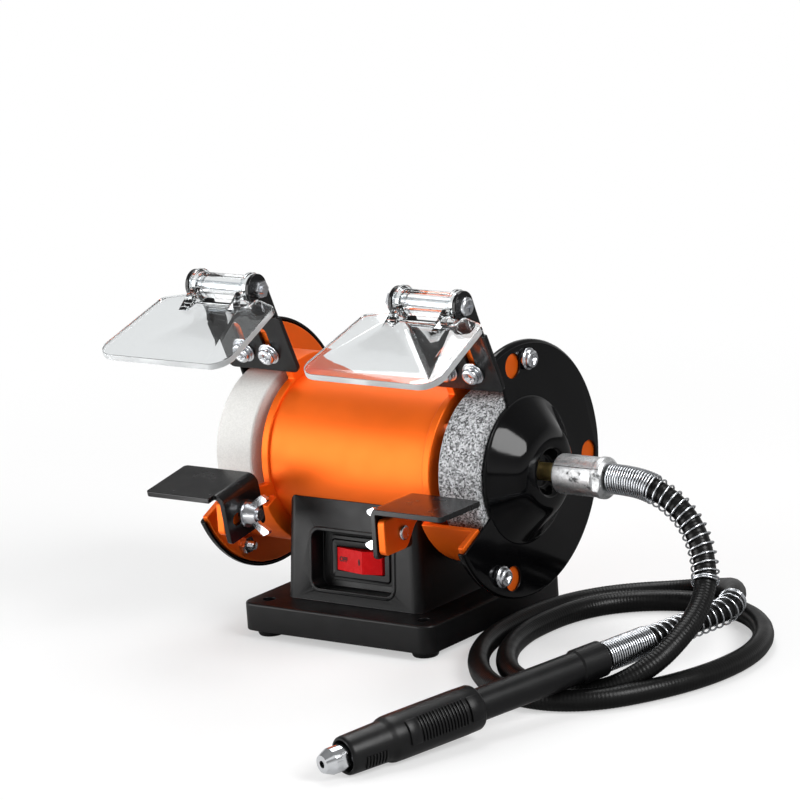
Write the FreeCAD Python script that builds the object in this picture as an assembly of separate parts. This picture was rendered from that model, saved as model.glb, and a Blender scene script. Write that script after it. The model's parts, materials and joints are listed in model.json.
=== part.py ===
"""Mini bench grinder with two wheels, eye shields, tool rests and a flexible shaft."""
import FreeCAD
import Part
import math
import os

V = FreeCAD.Vector

# Frame: X along the spindle with the flexible shaft on the +X side, -Y towards the user,
# +Z up, origin on the bench in the middle of the base. All sizes are in millimetres.

# Clearances
SLIDE_GAP = 0.15        # flat faces that slide on each other
PRESS_GAP = 0.02        # pressed or keyed seats on the spindle
RUN_GAP = 0.08          # radial gap of a pin that turns in a hole
BOLT_GAP = 0.2          # radial gap of a bolt in its hole
SADDLE_GAP = 0.15       # motor tube in its saddle

# Base and pedestal
FOOT_H = 3.5
FOOT_R = 5.6
FOOT_TOP_R = 6.8
BASE_SIDE = 105.0
BASE_TOP = 16.4
BASE_CORNER_R = 6.5
BASE_WALL = 3.0
BASE_EDGE_R = 1.2
BOLT_INSET = 9.5        # bench bolt holes, in from the base's sides
BOLT_HOLE_R = 2.9
BOLT_CORNER = 6.6       # solid corner round each bolt hole, from the hole's centre inwards
PED_BOTTOM_X = 37.5     # half sizes of the pedestal where it leaves the base
PED_BOTTOM_Y = 37.4
PED_TOP_X = 35.8        # half sizes at the height of the saddle's edge
PED_TOP_Y = 33.0
PED_TOP_DROP = 13.1     # saddle's edge below the spindle
PED_CORNER_R = 4.5
SADDLE_WALL = 4.0
COVER_PLATE_T = 2.5
COVER_PLATE_INSET = 1.0
COVER_SCREW_INSET = 9.0
COVER_SCREW_R = 1.6
COVER_SCREW_HEAD_R = 4.0
COVER_SCREW_HEAD_H = 2.0
COVER_BOSS_R = 4.2

# Switch in the front of the pedestal
SWITCH_DROP = 41.5      # switch's middle below the spindle
RECESS_W = 44.6
RECESS_H = 26.4
RECESS_DEPTH = 8.2
RECESS_WALL = 3.0
RECESS_CORNER_R = 4.0
BEAD_W = 1.6            # raised bead round the recess
BEAD_H = 0.6
BEZEL_W = 32.0
BEZEL_H = 17.0
BEZEL_T = 1.8
BEZEL_CORNER_R = 1.2
BEZEL_STEP_W = 1.8      # lower step round the bezel
BEZEL_STEP_T = 0.9
ROCKER_R = 12.8         # rocker ends are round about its pin
ROCKER_H = 10.4
ROCKER_CREST_AT = 3.5   # ridge of the rocker, to the right of its pin
ROCKER_CREST = 3.9      # heights over the bezel: ridge, pressed end and free end
ROCKER_PRESSED = 0.4
ROCKER_FREE = 1.7
ROCKER_PIN = 1.0        # pin under the bezel's face
ROCKER_DROP = 6.0       # rocker below its pin
ROCKER_GAP = 0.35
SWITCH_WALL = 1.4
SWITCH_BODY_DEPTH = 10.0

# Cord gland in the back of the pedestal, and the capacitor in the base
GLAND_X = -18.0
GLAND_Z = 30.0
GLAND_R = 6.0
GLAND_FLANGE_R = 8.5
GLAND_FLANGE_T = 3.0
GLAND_TAIL = 6.0
GLAND_BORE_R = 3.3
CAP_L = 44.0
CAP_W = 18.0
CAP_H = 24.0
CAP_Y = 10.0

# Motor
AXIS_Z = 77.1
TUBE_R = 35.5
TUBE_WALL = 2.0
TUBE_HALF = 42.6
STATOR_HALF = 17.0
SLOT_COUNT = 12
SLOT_W = 5.0
SLOT_DEPTH = 7.4        # stator bore to the bottom of the slots
SLOT_WEB = 0.4          # slots to the bolt holes
SLOT_MOUTH = 1.6
END_TURN_L = 10.0
WINDING_GAP = 0.3
AIR_GAP = 0.4
END_RING_L = 6.0
END_RING_IN_R = 9.0
END_FIN_COUNT = 8
END_FIN_L = 4.0
END_FIN_T = 2.0
CORE_SHAFT_R = 6.0
SPINDLE_R = 5.0         # spindle in the bearings and wheels
CORE_SHAFT_GAP = 3.6    # spindle's shoulder to the bearing
TIE_BOLT_R = 2.0
TIE_BOLT_INSET = 4.5    # bolt circle in from the tube's inside
TIE_HEAD_R = 3.6
TIE_HEAD_H = 2.6
TIE_BOLT_COUNT = 4

# Ball bearings
BEARING_R = 13.0
BEARING_W = 8.0
BEARING_BALL_R = 2.38
BEARING_RING = 2.4
BEARING_BALLS = 7
BEARING_INSET = 2.0     # bearing's outer face behind the guard wall's face
BALL_GAP = 0.06
BOSS_WALL = 4.0

# Wheel guards, one casting each side
GUARD_WALL = 4.0
GUARD_GAP = 3.9         # wheel to drum
DRUM_WALL = 2.2
FLANGE_W = 11.9
FLANGE_T = 3.0
SPIGOT_L = 3.0
SPIGOT_WALL = 2.2
OPEN_LOW = -25.0        # front opening, degrees up from the user's side
WALL_CUT_R = 36.8       # guard wall inside the opening
LIP_T = 3.0
LIP_TOP = 62.0          # radius of the lip's top edge
HUB_GAP = 0.6

# Grinding wheels and their flanges
WHEEL_R = 37.5
WHEEL_W = 20.0
WHEEL_BEVEL = 0.6
WHEEL_STANDOFF = 5.3    # guard wall to wheel
CLAMP_R = 16.0
CLAMP_T = 2.6
CLAMP_HUB_R = 7.0
NUT_AF = 17.0
NUT_T = 3.6
SPINDLE_STUB = 2.4      # thread left over past the nut
DRIVE_END_R = 2.4
DRIVE_END_L = 20.0

# Side covers
COVER_GAP = 0.5         # wheel to cover
COVER_T = 1.3
RIM_GAP = 0.8
RIM_DEPTH = 3.6
DOME_BASE_R = 32.4
DOME_SHOULDER_R = 18.0
DOME_RISE = 13.2
DOME_CROWN = 0.8        # crest over the shoulder
DOME_BENDS = (2.0, 2.6, 14.0)    # outer radii from the rim to the shoulder
CROWN_R = 10.6          # flat of a closed crown, and mouth of a dish
CROWN_BEND = 20.0
DISH_R = 7.6
DISH_BENDS = (2.4, 2.0)
OPENING_LIP = 0.6       # flange left round the dome along the opening
COVER_OPEN_LOW = -27.0
COVER_OPEN_HIGH = 70.5
COVER_HOLE_R = 5.5
COVER_HOLE_OUT = 4.9    # hole circle out from the drum
COVER_HOLE_ANGLES = (83.0, 184.5, 289.0)
FIX_TURN = 12.0         # each fixing screw sits this many degrees past its hole
FIX_R = 2.0
FIX_HEAD_R = 4.1
FIX_HEAD_H = 2.5
FIX_WASHER_R = 4.9
FIX_WASHER_T = 0.8
FIX_NUT_AF = 7.0
FIX_NUT_T = 3.2
FIX_TAIL = 4.0

# Spark bracket, in the radial plane at the top of the front opening
BRACKET_ANGLE = 66.3
BRACKET_T = 2.0
BRACKET_W = 40.0
BRACKET_OUT = 13.8      # bracket's middle past the end of the motor tube
BRACKET_LIFT = 4.7      # bracket's lower edge over the wheel
BRACKET_SHOULDER = 72.7
BRACKET_NECK = 77.7
BRACKET_SHOULDER_W = 2.0
BRACKET_CORNER_R = 3.0
SLOT_PAIR = 14.0
BRACKET_SLOT_LOW = 48.0
BRACKET_SLOT_HIGH = 66.0
BRACKET_SCREW_AT = 52.3
BRACKET_SCREW_R = 2.0
BRACKET_SCREW_HEAD_R = 4.0
BRACKET_SCREW_HEAD_H = 2.6
EAR_R = 6.8
EAR_ROOT = 68.0
HINGE_AT = 91.2
HINGE_OUT = 3.5
HINGE_PIN_R = 2.0
HINGE_HEAD_R = 4.2
HINGE_HEAD_H = 2.6
HINGE_NUT_AF = 7.0
HINGE_NUT_T = 3.2

# Eye shield
SHIELD_TILT = 20.0      # degrees below level
SHIELD_T = 3.0
SHIELD_DROP = 3.0       # hinge axis to the plate's top face
SHIELD_REACH = 56.0
SHIELD_FRONT_W = 74.0
SHIELD_BACK_W = 64.0
SHIELD_BACK = 3.0       # plate's rear edge beside the ears
SHIELD_CORNER = 8.0     # plate's rear corners
SHIELD_NOTCH = 9.5      # plate's edge in front of the bracket's ears
SHIELD_FRONT_R = 9.0
SHIELD_BACK_R = 4.0
BARREL_R = 5.8
ARM_W = 5.0
ARM_REACH = 17.0
EAR_CLEAR = 0.4

# Tool rests
REST_T = 2.5
REST_DROP = 2.1         # rest's top below the spindle
REST_W = 38.5
REST_GAP = 8.5          # wheel to rest
REST_L = 30.0
REST_CORNER_R = 2.0
REST_BEND_R = 5.0       # outside of the bend
REST_SIDE_SET = 4.0     # slotted side starts this far behind the plate's front edge
REST_SIDE_L = 9.5       # slotted side below the stud
REST_LEFT_TILT = 10.0   # left rest leans down to the front
STUD_BACK = 12.0        # stud in front of the rest's rear edge
STUD_DROP = 16.6        # stud below the spindle
STUD_R = 2.5
REST_SLOT_HALF = 7.0    # travel of the rest each way along its slot
STUD_HEAD_R = 3.4
STUD_HEAD_H = 1.4
STUD_TAIL = 1.5
REST_WASHER_R = 6.2
REST_WASHER_T = 1.2
WING_HUB_R = 5.0
WING_HUB_L = 5.2
WING_SPAN = 9.4
WING_T = 2.2
WING_RISE = 7.0         # wing tips in front of the hub
WING_W = 4.2
WING_TURN = 80.0        # degrees from level, as it is tightened
TAB_RISE = 8.4          # tab's top and low edges over and under the stud
TAB_FALL = 7.8
TAB_REACH = 13.2        # tab's front edge in front of the stud
TAB_SLOPE = 53.0        # degrees of the rising edge behind the stud
TAB_CORNER_R = 2.5
TAB_CURVE_R = 5.0

# Flexible shaft: spigot, coupling, springs and sheath
SPIGOT_R = 4.0
SPIGOT_BORE_R = 2.9
SPIGOT_FLANGE_R = 8.0
SPIGOT_FLANGE_T = 1.4
SPIGOT_CLEAR = 0.3      # spindle nut to the spigot's flange
SPIGOT_REACH = 20.0
COLLAR_STAND = 10.4     # collar in front of the cover's dish
COLLAR_L = 20.5
COLLAR_RING_L = 5.5
COLLAR_R = 8.85
COLLAR_RING_R = 9.3
SHEATH_R = 4.8
SPRING_WIRE = 0.9
SPRING_CLOSE_R = 6.4
SPRING_OPEN_R = 5.95
SPRING_CLOSE_PITCH = 1.66
SPRING_END_PITCH = 2.0
SPRING_OPEN_PITCH = 4.3
SPRING_LEAD = 2.6       # first half turn climbs this far from the face it starts on
MOTOR_CLOSE_TURNS = 12
MOTOR_OPEN_TURNS = 14
TOOL_CLOSE_TURNS = 14
TOOL_OPEN_TURNS = 21

# Handpiece, sizes along its axis from the tip
TIP = (109.2, -206.0, 7.6)
COLLET_L = 16.0
COLLET_R = 5.6
COLLET_TIP_R = 3.8
COLLET_BORE_R = 1.6
SLEEVE_LAP = 3.0        # hollow front of the sleeve over the collet nut
SLEEVE_HOLLOW_GAP = 0.8
SLEEVE_NOSE_WALL = 3.0
SLEEVE_STEP = 33.0      # step between the sleeve's front and its thicker grip
SLEEVE_STEP_L = 3.0
SLEEVE_END = 78.0
SLEEVE_RIM_R = 7.4
SLEEVE_FRONT_R = 8.3
SLEEVE_NECK_R = 8.8
SLEEVE_REAR_R = 9.9
SLEEVE_TRAVEL = 5.0
SLEEVE_GAP = 0.3
BODY_R = 7.0
CAP_START = 132.0
CAP_R = 7.8
HAND_BORE_R = 4.6
HAND_SPINDLE_R = 3.0
HAND_SPINDLE_END = 118.0
HAND_BEARING_L = 5.0
HAND_BEARING_IN = 4.0   # bushes this far inside the body's ends

# Sizes that follow from the ones above
BOLT_SPACING = BASE_SIDE - 2 * BOLT_INSET
COVER_SCREW_X = BASE_SIDE / 2 - COVER_SCREW_INSET
PED_TOP_Z = AXIS_Z - PED_TOP_DROP
SWITCH_Z = AXIS_Z - SWITCH_DROP
WALL_FACE = TUBE_HALF + GUARD_WALL
WHEEL_IN = WALL_FACE + WHEEL_STANDOFF
WHEEL_OUT = WHEEL_IN + WHEEL_W
COVER_IN = WHEEL_OUT + COVER_GAP
COVER_FACE = COVER_IN + COVER_T
DRUM_IN_R = WHEEL_R + GUARD_GAP
DRUM_R = DRUM_IN_R + DRUM_WALL
FLANGE_R = DRUM_R + FLANGE_W
COVER_R = FLANGE_R + RIM_GAP + COVER_T
COVER_HOLE_CIRCLE = DRUM_R + COVER_HOLE_OUT
BEARING_OUT = WALL_FACE - BEARING_INSET
BEARING_IN = BEARING_OUT - BEARING_W
BEARING_PITCH_R = (BEARING_R + SPINDLE_R) / 2
CORE_SHAFT_HALF = BEARING_IN - CORE_SHAFT_GAP
TUBE_IN_R = TUBE_R - TUBE_WALL
TIE_BOLT_CIRCLE = TUBE_IN_R - TIE_BOLT_INSET
SLOT_BOTTOM_R = TIE_BOLT_CIRCLE - TIE_BOLT_R - BOLT_GAP - SLOT_WEB
STATOR_BORE_R = SLOT_BOTTOM_R - SLOT_DEPTH
ROTOR_R = STATOR_BORE_R - AIR_GAP
NUT_START = WHEEL_OUT + CLAMP_T
NUT_END = NUT_START + NUT_T
DISH_FACE = NUT_END + SPIGOT_CLEAR + SPIGOT_FLANGE_T + COVER_T
DOME_CREST = COVER_FACE + DOME_RISE
COLLAR_START = DISH_FACE + COLLAR_STAND
COLLAR_END = COLLAR_START + COLLAR_L
COLLAR_FACE = COLLAR_END + COLLAR_RING_L
LIP_FRONT = -BRACKET_T - SLIDE_GAP
BRACKET_MID = TUBE_HALF + BRACKET_OUT
BRACKET_LOW = WHEEL_R + BRACKET_LIFT
REST_TOP = AXIS_Z - REST_DROP
REST_BACK = -WHEEL_R - REST_GAP
REST_FRONT = REST_BACK - REST_L
STUD_Y = REST_BACK - STUD_BACK
STUD_Z = AXIS_Z - STUD_DROP
STUD_FACE = TUBE_HALF - SLIDE_GAP
REST_INNER = STUD_FACE - REST_T
REST_SIDE_LOW = STUD_Z - REST_SIDE_L
SLEEVE_START = COLLET_L - SLEEVE_LAP
SLEEVE_STOP = COLLET_L + SLEEVE_GAP + SLEEVE_NOSE_WALL
BODY_FRONT = SLEEVE_STOP + SLEEVE_TRAVEL + SLEEVE_GAP
LEAN = math.atan2(PED_BOTTOM_Y - PED_TOP_Y, PED_TOP_Z - BASE_TOP)

# Route of the sheath from the coupling to the handpiece
ROUTE = [
    (COLLAR_FACE, 0.0, AXIS_Z), (128.0, 0.0, AXIS_Z), (139.0, 0.0, 75.2), (149.5, -0.5, 70.4),
    (158.5, -1.5, 63.0), (165.1, -3.9, 53.5), (169.6, -7.9, 43.8), (172.8, -14.6, 35.6),
    (175.1, -26.3, 28.2), (174.5, -40.1, 21.5), (171.5, -51.9, 15.3), (165.1, -62.0, 10.0),
    (155.5, -69.4, 5.4), (144.0, -74.6, 4.9), (129.0, -76.0, 4.9), (114.0, -71.0, 4.9),
    (100.0, -60.5, 4.9), (88.5, -46.0, 4.9), (79.5, -29.0, 4.9), (74.0, -10.0, 4.9),
    (73.0, 9.0, 4.9), (75.0, 26.0, 4.9), (81.5, 41.0, 4.9), (93.0, 52.0, 4.9),
    (107.0, 59.0, 4.9), (123.0, 61.5, 4.9), (138.5, 59.0, 4.9), (153.5, 51.5, 4.9),
    (167.5, 38.5, 4.9), (178.5, 21.0, 4.9), (184.5, 0.0, 4.9), (184.5, -22.0, 4.9),
    (180.0, -42.5, 4.9), (172.0, -61.0, 4.9), (161.5, -77.5, 4.9), (147.5, -87.5, 4.9),
    (131.0, -90.0, 4.9), (113.5, -85.5, 4.9), (97.5, -75.0, 4.9), (83.0, -59.5, 4.9),
    (71.5, -41.5, 4.9), (64.0, -21.5, 4.9), (61.5, -1.0, 4.9), (62.0, 19.0, 4.9),
    (66.0, 37.0, 4.9), (74.5, 52.0, 4.9), (86.0, 63.5, 4.9), (99.5, 71.0, 5.2),
    (113.0, 73.5, 7.0), (125.5, 68.5, 9.8), (136.5, 58.5, 13.8), (146.5, 46.5, 18.2),
    (155.8, 34.5, 22.0), (164.0, 23.5, 24.3), (169.5, 13.0, 24.6), (171.8, 3.6, 23.0),
    (168.8, -7.3, 22.2), (165.3, -21.5, 21.4), (162.0, -35.9, 20.7), (157.75, -51.93, 19.72),
    (153.11, -66.67, 18.56),
]


def polygon(points):
    """Closed flat face through the points."""
    return Part.Face(Part.makePolygon(list(points) + [points[0]]))


def rounded_wire(points, radii, closed=False):
    """Straight runs through the points, with a tangent arc of the given radius at each corner."""
    count = len(points)
    stops = []
    for i, p in enumerate(points):
        inner = closed or 0 < i < count - 1
        if not inner or radii[i] <= 0:
            stops.append((p, None, p))
            continue
        a = (points[i - 1] - p).normalize()
        b = (points[(i + 1) % count] - p).normalize()
        half = (math.pi - a.getAngle(b)) / 2
        trim = radii[i] * math.tan(half)
        middle = (a + b).normalize() * (radii[i] / math.cos(half) - radii[i])
        stops.append((p + a * trim, p + middle, p + b * trim))
    edges = []
    for i, (start, middle, end) in enumerate(stops):
        if middle is not None:
            edges.append(Part.Arc(start, middle, end).toShape())
        if i < count - 1 or closed:
            following = stops[(i + 1) % count][0]
            if end.distanceToPoint(following) > 1e-6:
                edges.append(Part.LineSegment(end, following).toShape())
    return Part.Wire(edges)


def rounded_face(points, radii):
    """Closed flat face with rounded corners."""
    if not isinstance(radii, (list, tuple)):
        radii = [radii] * len(points)
    return Part.Face(rounded_wire(points, radii, closed=True))


def rectangle(half_x, half_y, z, radius, x=0.0, y=0.0):
    """Rounded rectangle at height z, as a wire."""
    corners = [V(x - half_x, y - half_y, z), V(x + half_x, y - half_y, z),
               V(x + half_x, y + half_y, z), V(x - half_x, y + half_y, z)]
    return rounded_wire(corners, [radius] * 4, closed=True)


def slab(half_x, half_y, z0, z1, radius, x=0.0, y=0.0):
    """Rounded rectangle extruded from z0 to z1."""
    return Part.Face(rectangle(half_x, half_y, z0, radius, x, y)).extrude(V(0, 0, z1 - z0))


def turned(points, axis_z=AXIS_Z):
    """Solid of revolution about the spindle from (x, radius) points."""
    face = polygon([V(x, 0, axis_z + r) for x, r in points])
    return face.revolve(V(0, 0, axis_z), V(1, 0, 0), 360)


def rod(radius, x0, x1, y=0.0, z=AXIS_Z):
    """Cylinder along X."""
    return Part.makeCylinder(radius, x1 - x0, V(x0, y, z), V(1, 0, 0))


def ring(outer, inner, x0, x1, y=0.0, z=AXIS_Z):
    """Tube along X."""
    return rod(outer, x0, x1, y, z).cut(rod(inner, x0 - 1, x1 + 1, y, z))


def post(radius, z0, z1, x=0.0, y=0.0):
    """Cylinder along Z."""
    return Part.makeCylinder(radius, z1 - z0, V(x, y, z0))


def block(x0, x1, y0, y1, z0, z1):
    """Box between two corners."""
    return Part.makeBox(x1 - x0, y1 - y0, z1 - z0, V(x0, y0, z0))


def hexagon(across, x0, x1, y=0.0, z=AXIS_Z):
    """Hexagonal bar along X."""
    radius = across / math.sqrt(3)
    corners = []
    for k in range(6):
        turn = math.radians(60 * k)
        corners.append(V(x0, y + radius * math.cos(turn), z + radius * math.sin(turn)))
    return polygon(corners).extrude(V(x1 - x0, 0, 0))


def around(radius, degrees):
    """Point on a circle about the spindle, as (y, z), degrees up from the user's side."""
    turn = math.radians(degrees)
    return -radius * math.cos(turn), AXIS_Z + radius * math.sin(turn)


def wedge(low, high, inner, x0, x1, reach=140.0):
    """Space between two angles about the spindle, outside a radius."""
    spots = [V(x0, 0, AXIS_Z)]
    for degrees in (low, (low + high) / 2, high):
        y, z = around(reach, degrees)
        spots.append(V(x0, y, z))
    return polygon(spots).extrude(V(x1 - x0, 0, 0)).cut(rod(inner, x0 - 1, x1 + 1))


def placed(shape, origin, u, v, n):
    """Moves a shape from its own axes to the given ones."""
    matrix = FreeCAD.Matrix(u.x, v.x, n.x, origin.x, u.y, v.y, n.y, origin.y,
                            u.z, v.z, n.z, origin.z, 0, 0, 0, 1)
    moved = shape.copy()
    moved.Placement = FreeCAD.Placement(matrix).multiply(shape.Placement)
    return moved


def on_front(shape):
    """Own axes to the leaning front of the pedestal: x along it, y up it, z out of it."""
    y = -PED_BOTTOM_Y + (SWITCH_Z - BASE_TOP) * math.tan(LEAN)
    up = V(0, math.sin(LEAN), math.cos(LEAN))
    out = V(0, -math.cos(LEAN), math.sin(LEAN))
    return placed(shape, V(0, y, SWITCH_Z), V(1, 0, 0), up, out)


def on_bracket(shape):
    """Own axes to the bracket's plane: x along the spindle, y away from it, z to the front."""
    turn = math.radians(BRACKET_ANGLE)
    up = V(0, -math.cos(turn), math.sin(turn))
    out = V(0, -math.sin(turn), -math.cos(turn))
    return placed(shape, V(0, 0, AXIS_Z), V(1, 0, 0), up, out)


def mirrored(shape):
    """The same piece on the other side of the grinder."""
    return shape.mirror(V(0, 0, 0), V(1, 0, 0))


def both(shape):
    """A piece and its mirror image as one group."""
    return Part.makeCompound(solids_of(shape) + solids_of(mirrored(shape)))


def solids_of(shape):
    """List of the solids in a shape."""
    return list(shape.Solids)


def fused(first, *others):
    """One solid out of several that overlap."""
    return first.multiFuse(list(others)).removeSplitter()


def keep(name, shape):
    """Writes one node."""
    if not shape.isValid():
        print("not valid:", name)
    shape.exportStep("parts/" + name + ".step")
    print(name, len(shape.Solids), round(shape.Volume, 1))


# Base

def bolt_spots():
    """Centres of the four bench bolt holes."""
    half = BOLT_SPACING / 2
    return [(x, y) for x in (-half, half) for y in (-half, half)]


def bolt_corners(inset):
    """Corner blocks round the bolt holes, reaching inset past each hole's centre."""
    reach = BASE_SIDE / 2
    blocks = []
    for x, y in bolt_spots():
        shift = reach - inset
        spot_x = x + math.copysign(shift, x)
        spot_y = y + math.copysign(shift, y)
        blocks.append(slab(reach, reach, FOOT_H - 2, BASE_TOP, inset, spot_x, spot_y))
    return Part.makeCompound(blocks)


def pedestal_half(z):
    """Half sizes of the pedestal at a height."""
    share = (z - BASE_TOP) / (PED_TOP_Z - BASE_TOP)
    return (PED_BOTTOM_X + (PED_TOP_X - PED_BOTTOM_X) * share,
            PED_BOTTOM_Y + (PED_TOP_Y - PED_BOTTOM_Y) * share)


def pedestal(z0, z1, inset, radius):
    """Tapered block of the pedestal between two heights."""
    sections = []
    for z in (z0, z1):
        half_x, half_y = pedestal_half(z)
        sections.append(rectangle(half_x - inset, half_y - inset, z, radius))
    return Part.makeLoft(sections, True, True)


def base_housing():
    """Moulded base and hollow pedestal with the motor's saddle."""
    half = BASE_SIDE / 2
    plate = slab(half, half, FOOT_H, BASE_TOP, BASE_CORNER_R)
    rim = [e for e in plate.Edges if e.BoundBox.ZMin > BASE_TOP - 0.01]
    plate = plate.makeFillet(BASE_EDGE_R, rim)
    tower_top = AXIS_Z
    tower = pedestal(BASE_TOP - BASE_WALL, tower_top, 0, PED_CORNER_R)
    roof = BASE_TOP - BASE_WALL
    inner = half - BASE_WALL
    hollow = slab(inner, inner, FOOT_H - 1, roof, BASE_CORNER_R - BASE_WALL)
    hollow = hollow.cut(bolt_corners(BOLT_CORNER))
    for x in (-COVER_SCREW_X, COVER_SCREW_X):
        hollow = hollow.cut(post(COVER_BOSS_R, cover_plate_top(), BASE_TOP, x, 0))
    shaft_top = AXIS_Z - TUBE_R - SADDLE_WALL
    well = pedestal(roof - 1, shaft_top, BASE_WALL, PED_CORNER_R - BASE_WALL)
    wide = RECESS_W / 2
    tall = RECESS_H / 2
    switch_box = on_front(slab(wide + RECESS_WALL, tall + RECESS_WALL, -RECESS_DEPTH - RECESS_WALL,
                               -BASE_WALL / 2, RECESS_CORNER_R + RECESS_WALL))
    bead = on_front(slab(wide + BEAD_W, tall + BEAD_W, -BASE_WALL / 2, BEAD_H, RECESS_CORNER_R + BEAD_W))
    body = plate.fuse(tower).fuse(bead).cut(hollow).cut(well.cut(switch_box))
    body = body.cut(rod(TUBE_R + SADDLE_GAP, -half, half))
    body = body.cut(on_front(slab(wide, tall, -RECESS_DEPTH, BEAD_H + 1, RECESS_CORNER_R)))
    hole_x = ROCKER_R + ROCKER_GAP + SWITCH_WALL + SLIDE_GAP
    hole_y = ROCKER_H / 2 + ROCKER_GAP + SWITCH_WALL + SLIDE_GAP
    hole_low = -RECESS_DEPTH - SWITCH_BODY_DEPTH - SLIDE_GAP
    body = body.cut(on_front(slab(hole_x, hole_y, hole_low, 0, SWITCH_WALL)))
    for x, y in bolt_spots():
        body = body.cut(post(BOLT_HOLE_R, 0, BASE_TOP + 1, x, y))
    for x in (-COVER_SCREW_X, COVER_SCREW_X):
        body = body.cut(post(COVER_SCREW_R + PRESS_GAP, FOOT_H, BASE_TOP - BASE_WALL, x, 0))
    seat = gland_seat()
    gland_hole = Part.makeCylinder(GLAND_R + BOLT_GAP, 20, V(GLAND_X, seat - 15, GLAND_Z), V(0, 1, 0))
    spot = Part.makeCylinder(GLAND_FLANGE_R + BOLT_GAP, 20, V(GLAND_X, seat, GLAND_Z), V(0, 1, 0))
    return body.cut(gland_hole).cut(spot).removeSplitter()


def cover_plate_top():
    """Height of the bottom cover's inner face."""
    return FOOT_H + COVER_PLATE_INSET + COVER_PLATE_T


def base_cover():
    """Bottom plate set into the base's rim."""
    inner = BASE_SIDE / 2 - BASE_WALL - SLIDE_GAP
    low = FOOT_H + COVER_PLATE_INSET
    plate = slab(inner, inner, low, cover_plate_top(), BASE_CORNER_R - BASE_WALL)
    plate = plate.cut(bolt_corners(BOLT_CORNER + SLIDE_GAP))
    for x in (-COVER_SCREW_X, COVER_SCREW_X):
        plate = plate.cut(post(COVER_SCREW_R + BOLT_GAP, 0, BASE_TOP, x, 0))
    return plate


def rubber_feet():
    """Rubber rings under the bolt bosses."""
    feet = []
    for x, y in bolt_spots():
        cone = Part.makeCone(FOOT_R, FOOT_TOP_R, FOOT_H, V(x, y, 0))
        feet.append(cone.cut(post(BOLT_HOLE_R, -1, FOOT_H + 1, x, y)))
    return Part.makeCompound(feet)


def base_cover_screws():
    """Two screws that hold the bottom plate."""
    low = FOOT_H + COVER_PLATE_INSET
    screws = []
    for x in (-COVER_SCREW_X, COVER_SCREW_X):
        head = post(COVER_SCREW_HEAD_R, low - COVER_SCREW_HEAD_H, low, x, 0)
        head = head.makeFillet(COVER_SCREW_HEAD_H * 0.45, [head.Edges[2]])
        shank = post(COVER_SCREW_R, low - 1, BASE_TOP - BASE_WALL - 1, x, 0)
        screws.append(fused(head, shank))
    return Part.makeCompound(screws)


def gland_seat():
    """Depth of the flat seat of the cord gland in the pedestal's back wall."""
    return pedestal_half(GLAND_Z + GLAND_FLANGE_R + BOLT_GAP)[1]


def cord_gland():
    """Rubber gland where the mains lead goes in."""
    seat = gland_seat()
    centre = V(GLAND_X, seat, GLAND_Z)
    along = V(0, 1, 0)
    flange = Part.makeCylinder(GLAND_FLANGE_R, GLAND_FLANGE_T, centre, along)
    stem = Part.makeCylinder(GLAND_R, BASE_WALL + 2, centre - along * (BASE_WALL + 1), along)
    tail = Part.makeCone(GLAND_R, GLAND_R * 0.8, GLAND_TAIL, centre + along * (GLAND_FLANGE_T - 1), along)
    bore = Part.makeCylinder(GLAND_BORE_R, 40, centre - along * 20, along)
    return fused(flange, stem, tail).cut(bore)


def run_capacitor():
    """Motor capacitor standing on the bottom plate."""
    low = cover_plate_top()
    box = slab(CAP_L / 2, CAP_W / 2, low, low + CAP_H, 3.0, 0, CAP_Y)
    return box.makeFillet(1.5, [e for e in box.Edges if e.BoundBox.ZMin > low + CAP_H - 0.01])


# Switch

def switch_frame():
    """Bezel and body of the rocker switch."""
    floor = -RECESS_DEPTH
    wide = ROCKER_R + ROCKER_GAP
    tall = ROCKER_H / 2 + ROCKER_GAP
    bezel = slab(BEZEL_W / 2, BEZEL_H / 2, floor, floor + BEZEL_T, BEZEL_CORNER_R)
    step = slab(BEZEL_W / 2 + BEZEL_STEP_W, BEZEL_H / 2 + BEZEL_STEP_W, floor, floor + BEZEL_STEP_T,
                BEZEL_CORNER_R + BEZEL_STEP_W)
    box = slab(wide + SWITCH_WALL, tall + SWITCH_WALL, floor - SWITCH_BODY_DEPTH, floor + BEZEL_STEP_T / 2,
               SWITCH_WALL / 2)
    room = slab(wide, tall, floor - SWITCH_BODY_DEPTH + SWITCH_WALL, floor + BEZEL_T + 1, SWITCH_WALL / 4)
    return on_front(fused(bezel, step, box).cut(room))


def rocker_pin():
    """Depth of the rocker's pin under the pedestal's front."""
    return -RECESS_DEPTH + BEZEL_T - ROCKER_PIN


def switch_rocker():
    """Rocker with a ridge, pressed at its off end."""
    half = ROCKER_H / 2
    end = ROCKER_R
    drum = Part.makeCylinder(ROCKER_R, ROCKER_H, V(0, -half, 0), V(0, 1, 0))
    outline = [V(-end, -half, ROCKER_PIN + ROCKER_PRESSED),
               V(ROCKER_CREST_AT, -half, ROCKER_PIN + ROCKER_CREST),
               V(end, -half, ROCKER_PIN + ROCKER_FREE), V(end, -half, -ROCKER_DROP),
               V(-end, -half, -ROCKER_DROP)]
    rocker = drum.common(polygon(outline).extrude(V(0, ROCKER_H, 0)))
    rocker.translate(V(0, 0, rocker_pin()))
    return on_front(rocker)


# Motor

def motor_tube():
    """Painted tube round the motor."""
    return ring(TUBE_R, TUBE_IN_R, -TUBE_HALF, TUBE_HALF)


def tie_bolt_spots():
    """Centres of the long bolts, as (y, z)."""
    step = 360 / TIE_BOLT_COUNT
    return [around(TIE_BOLT_CIRCLE, step / 2 + step * k) for k in range(TIE_BOLT_COUNT)]


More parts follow.
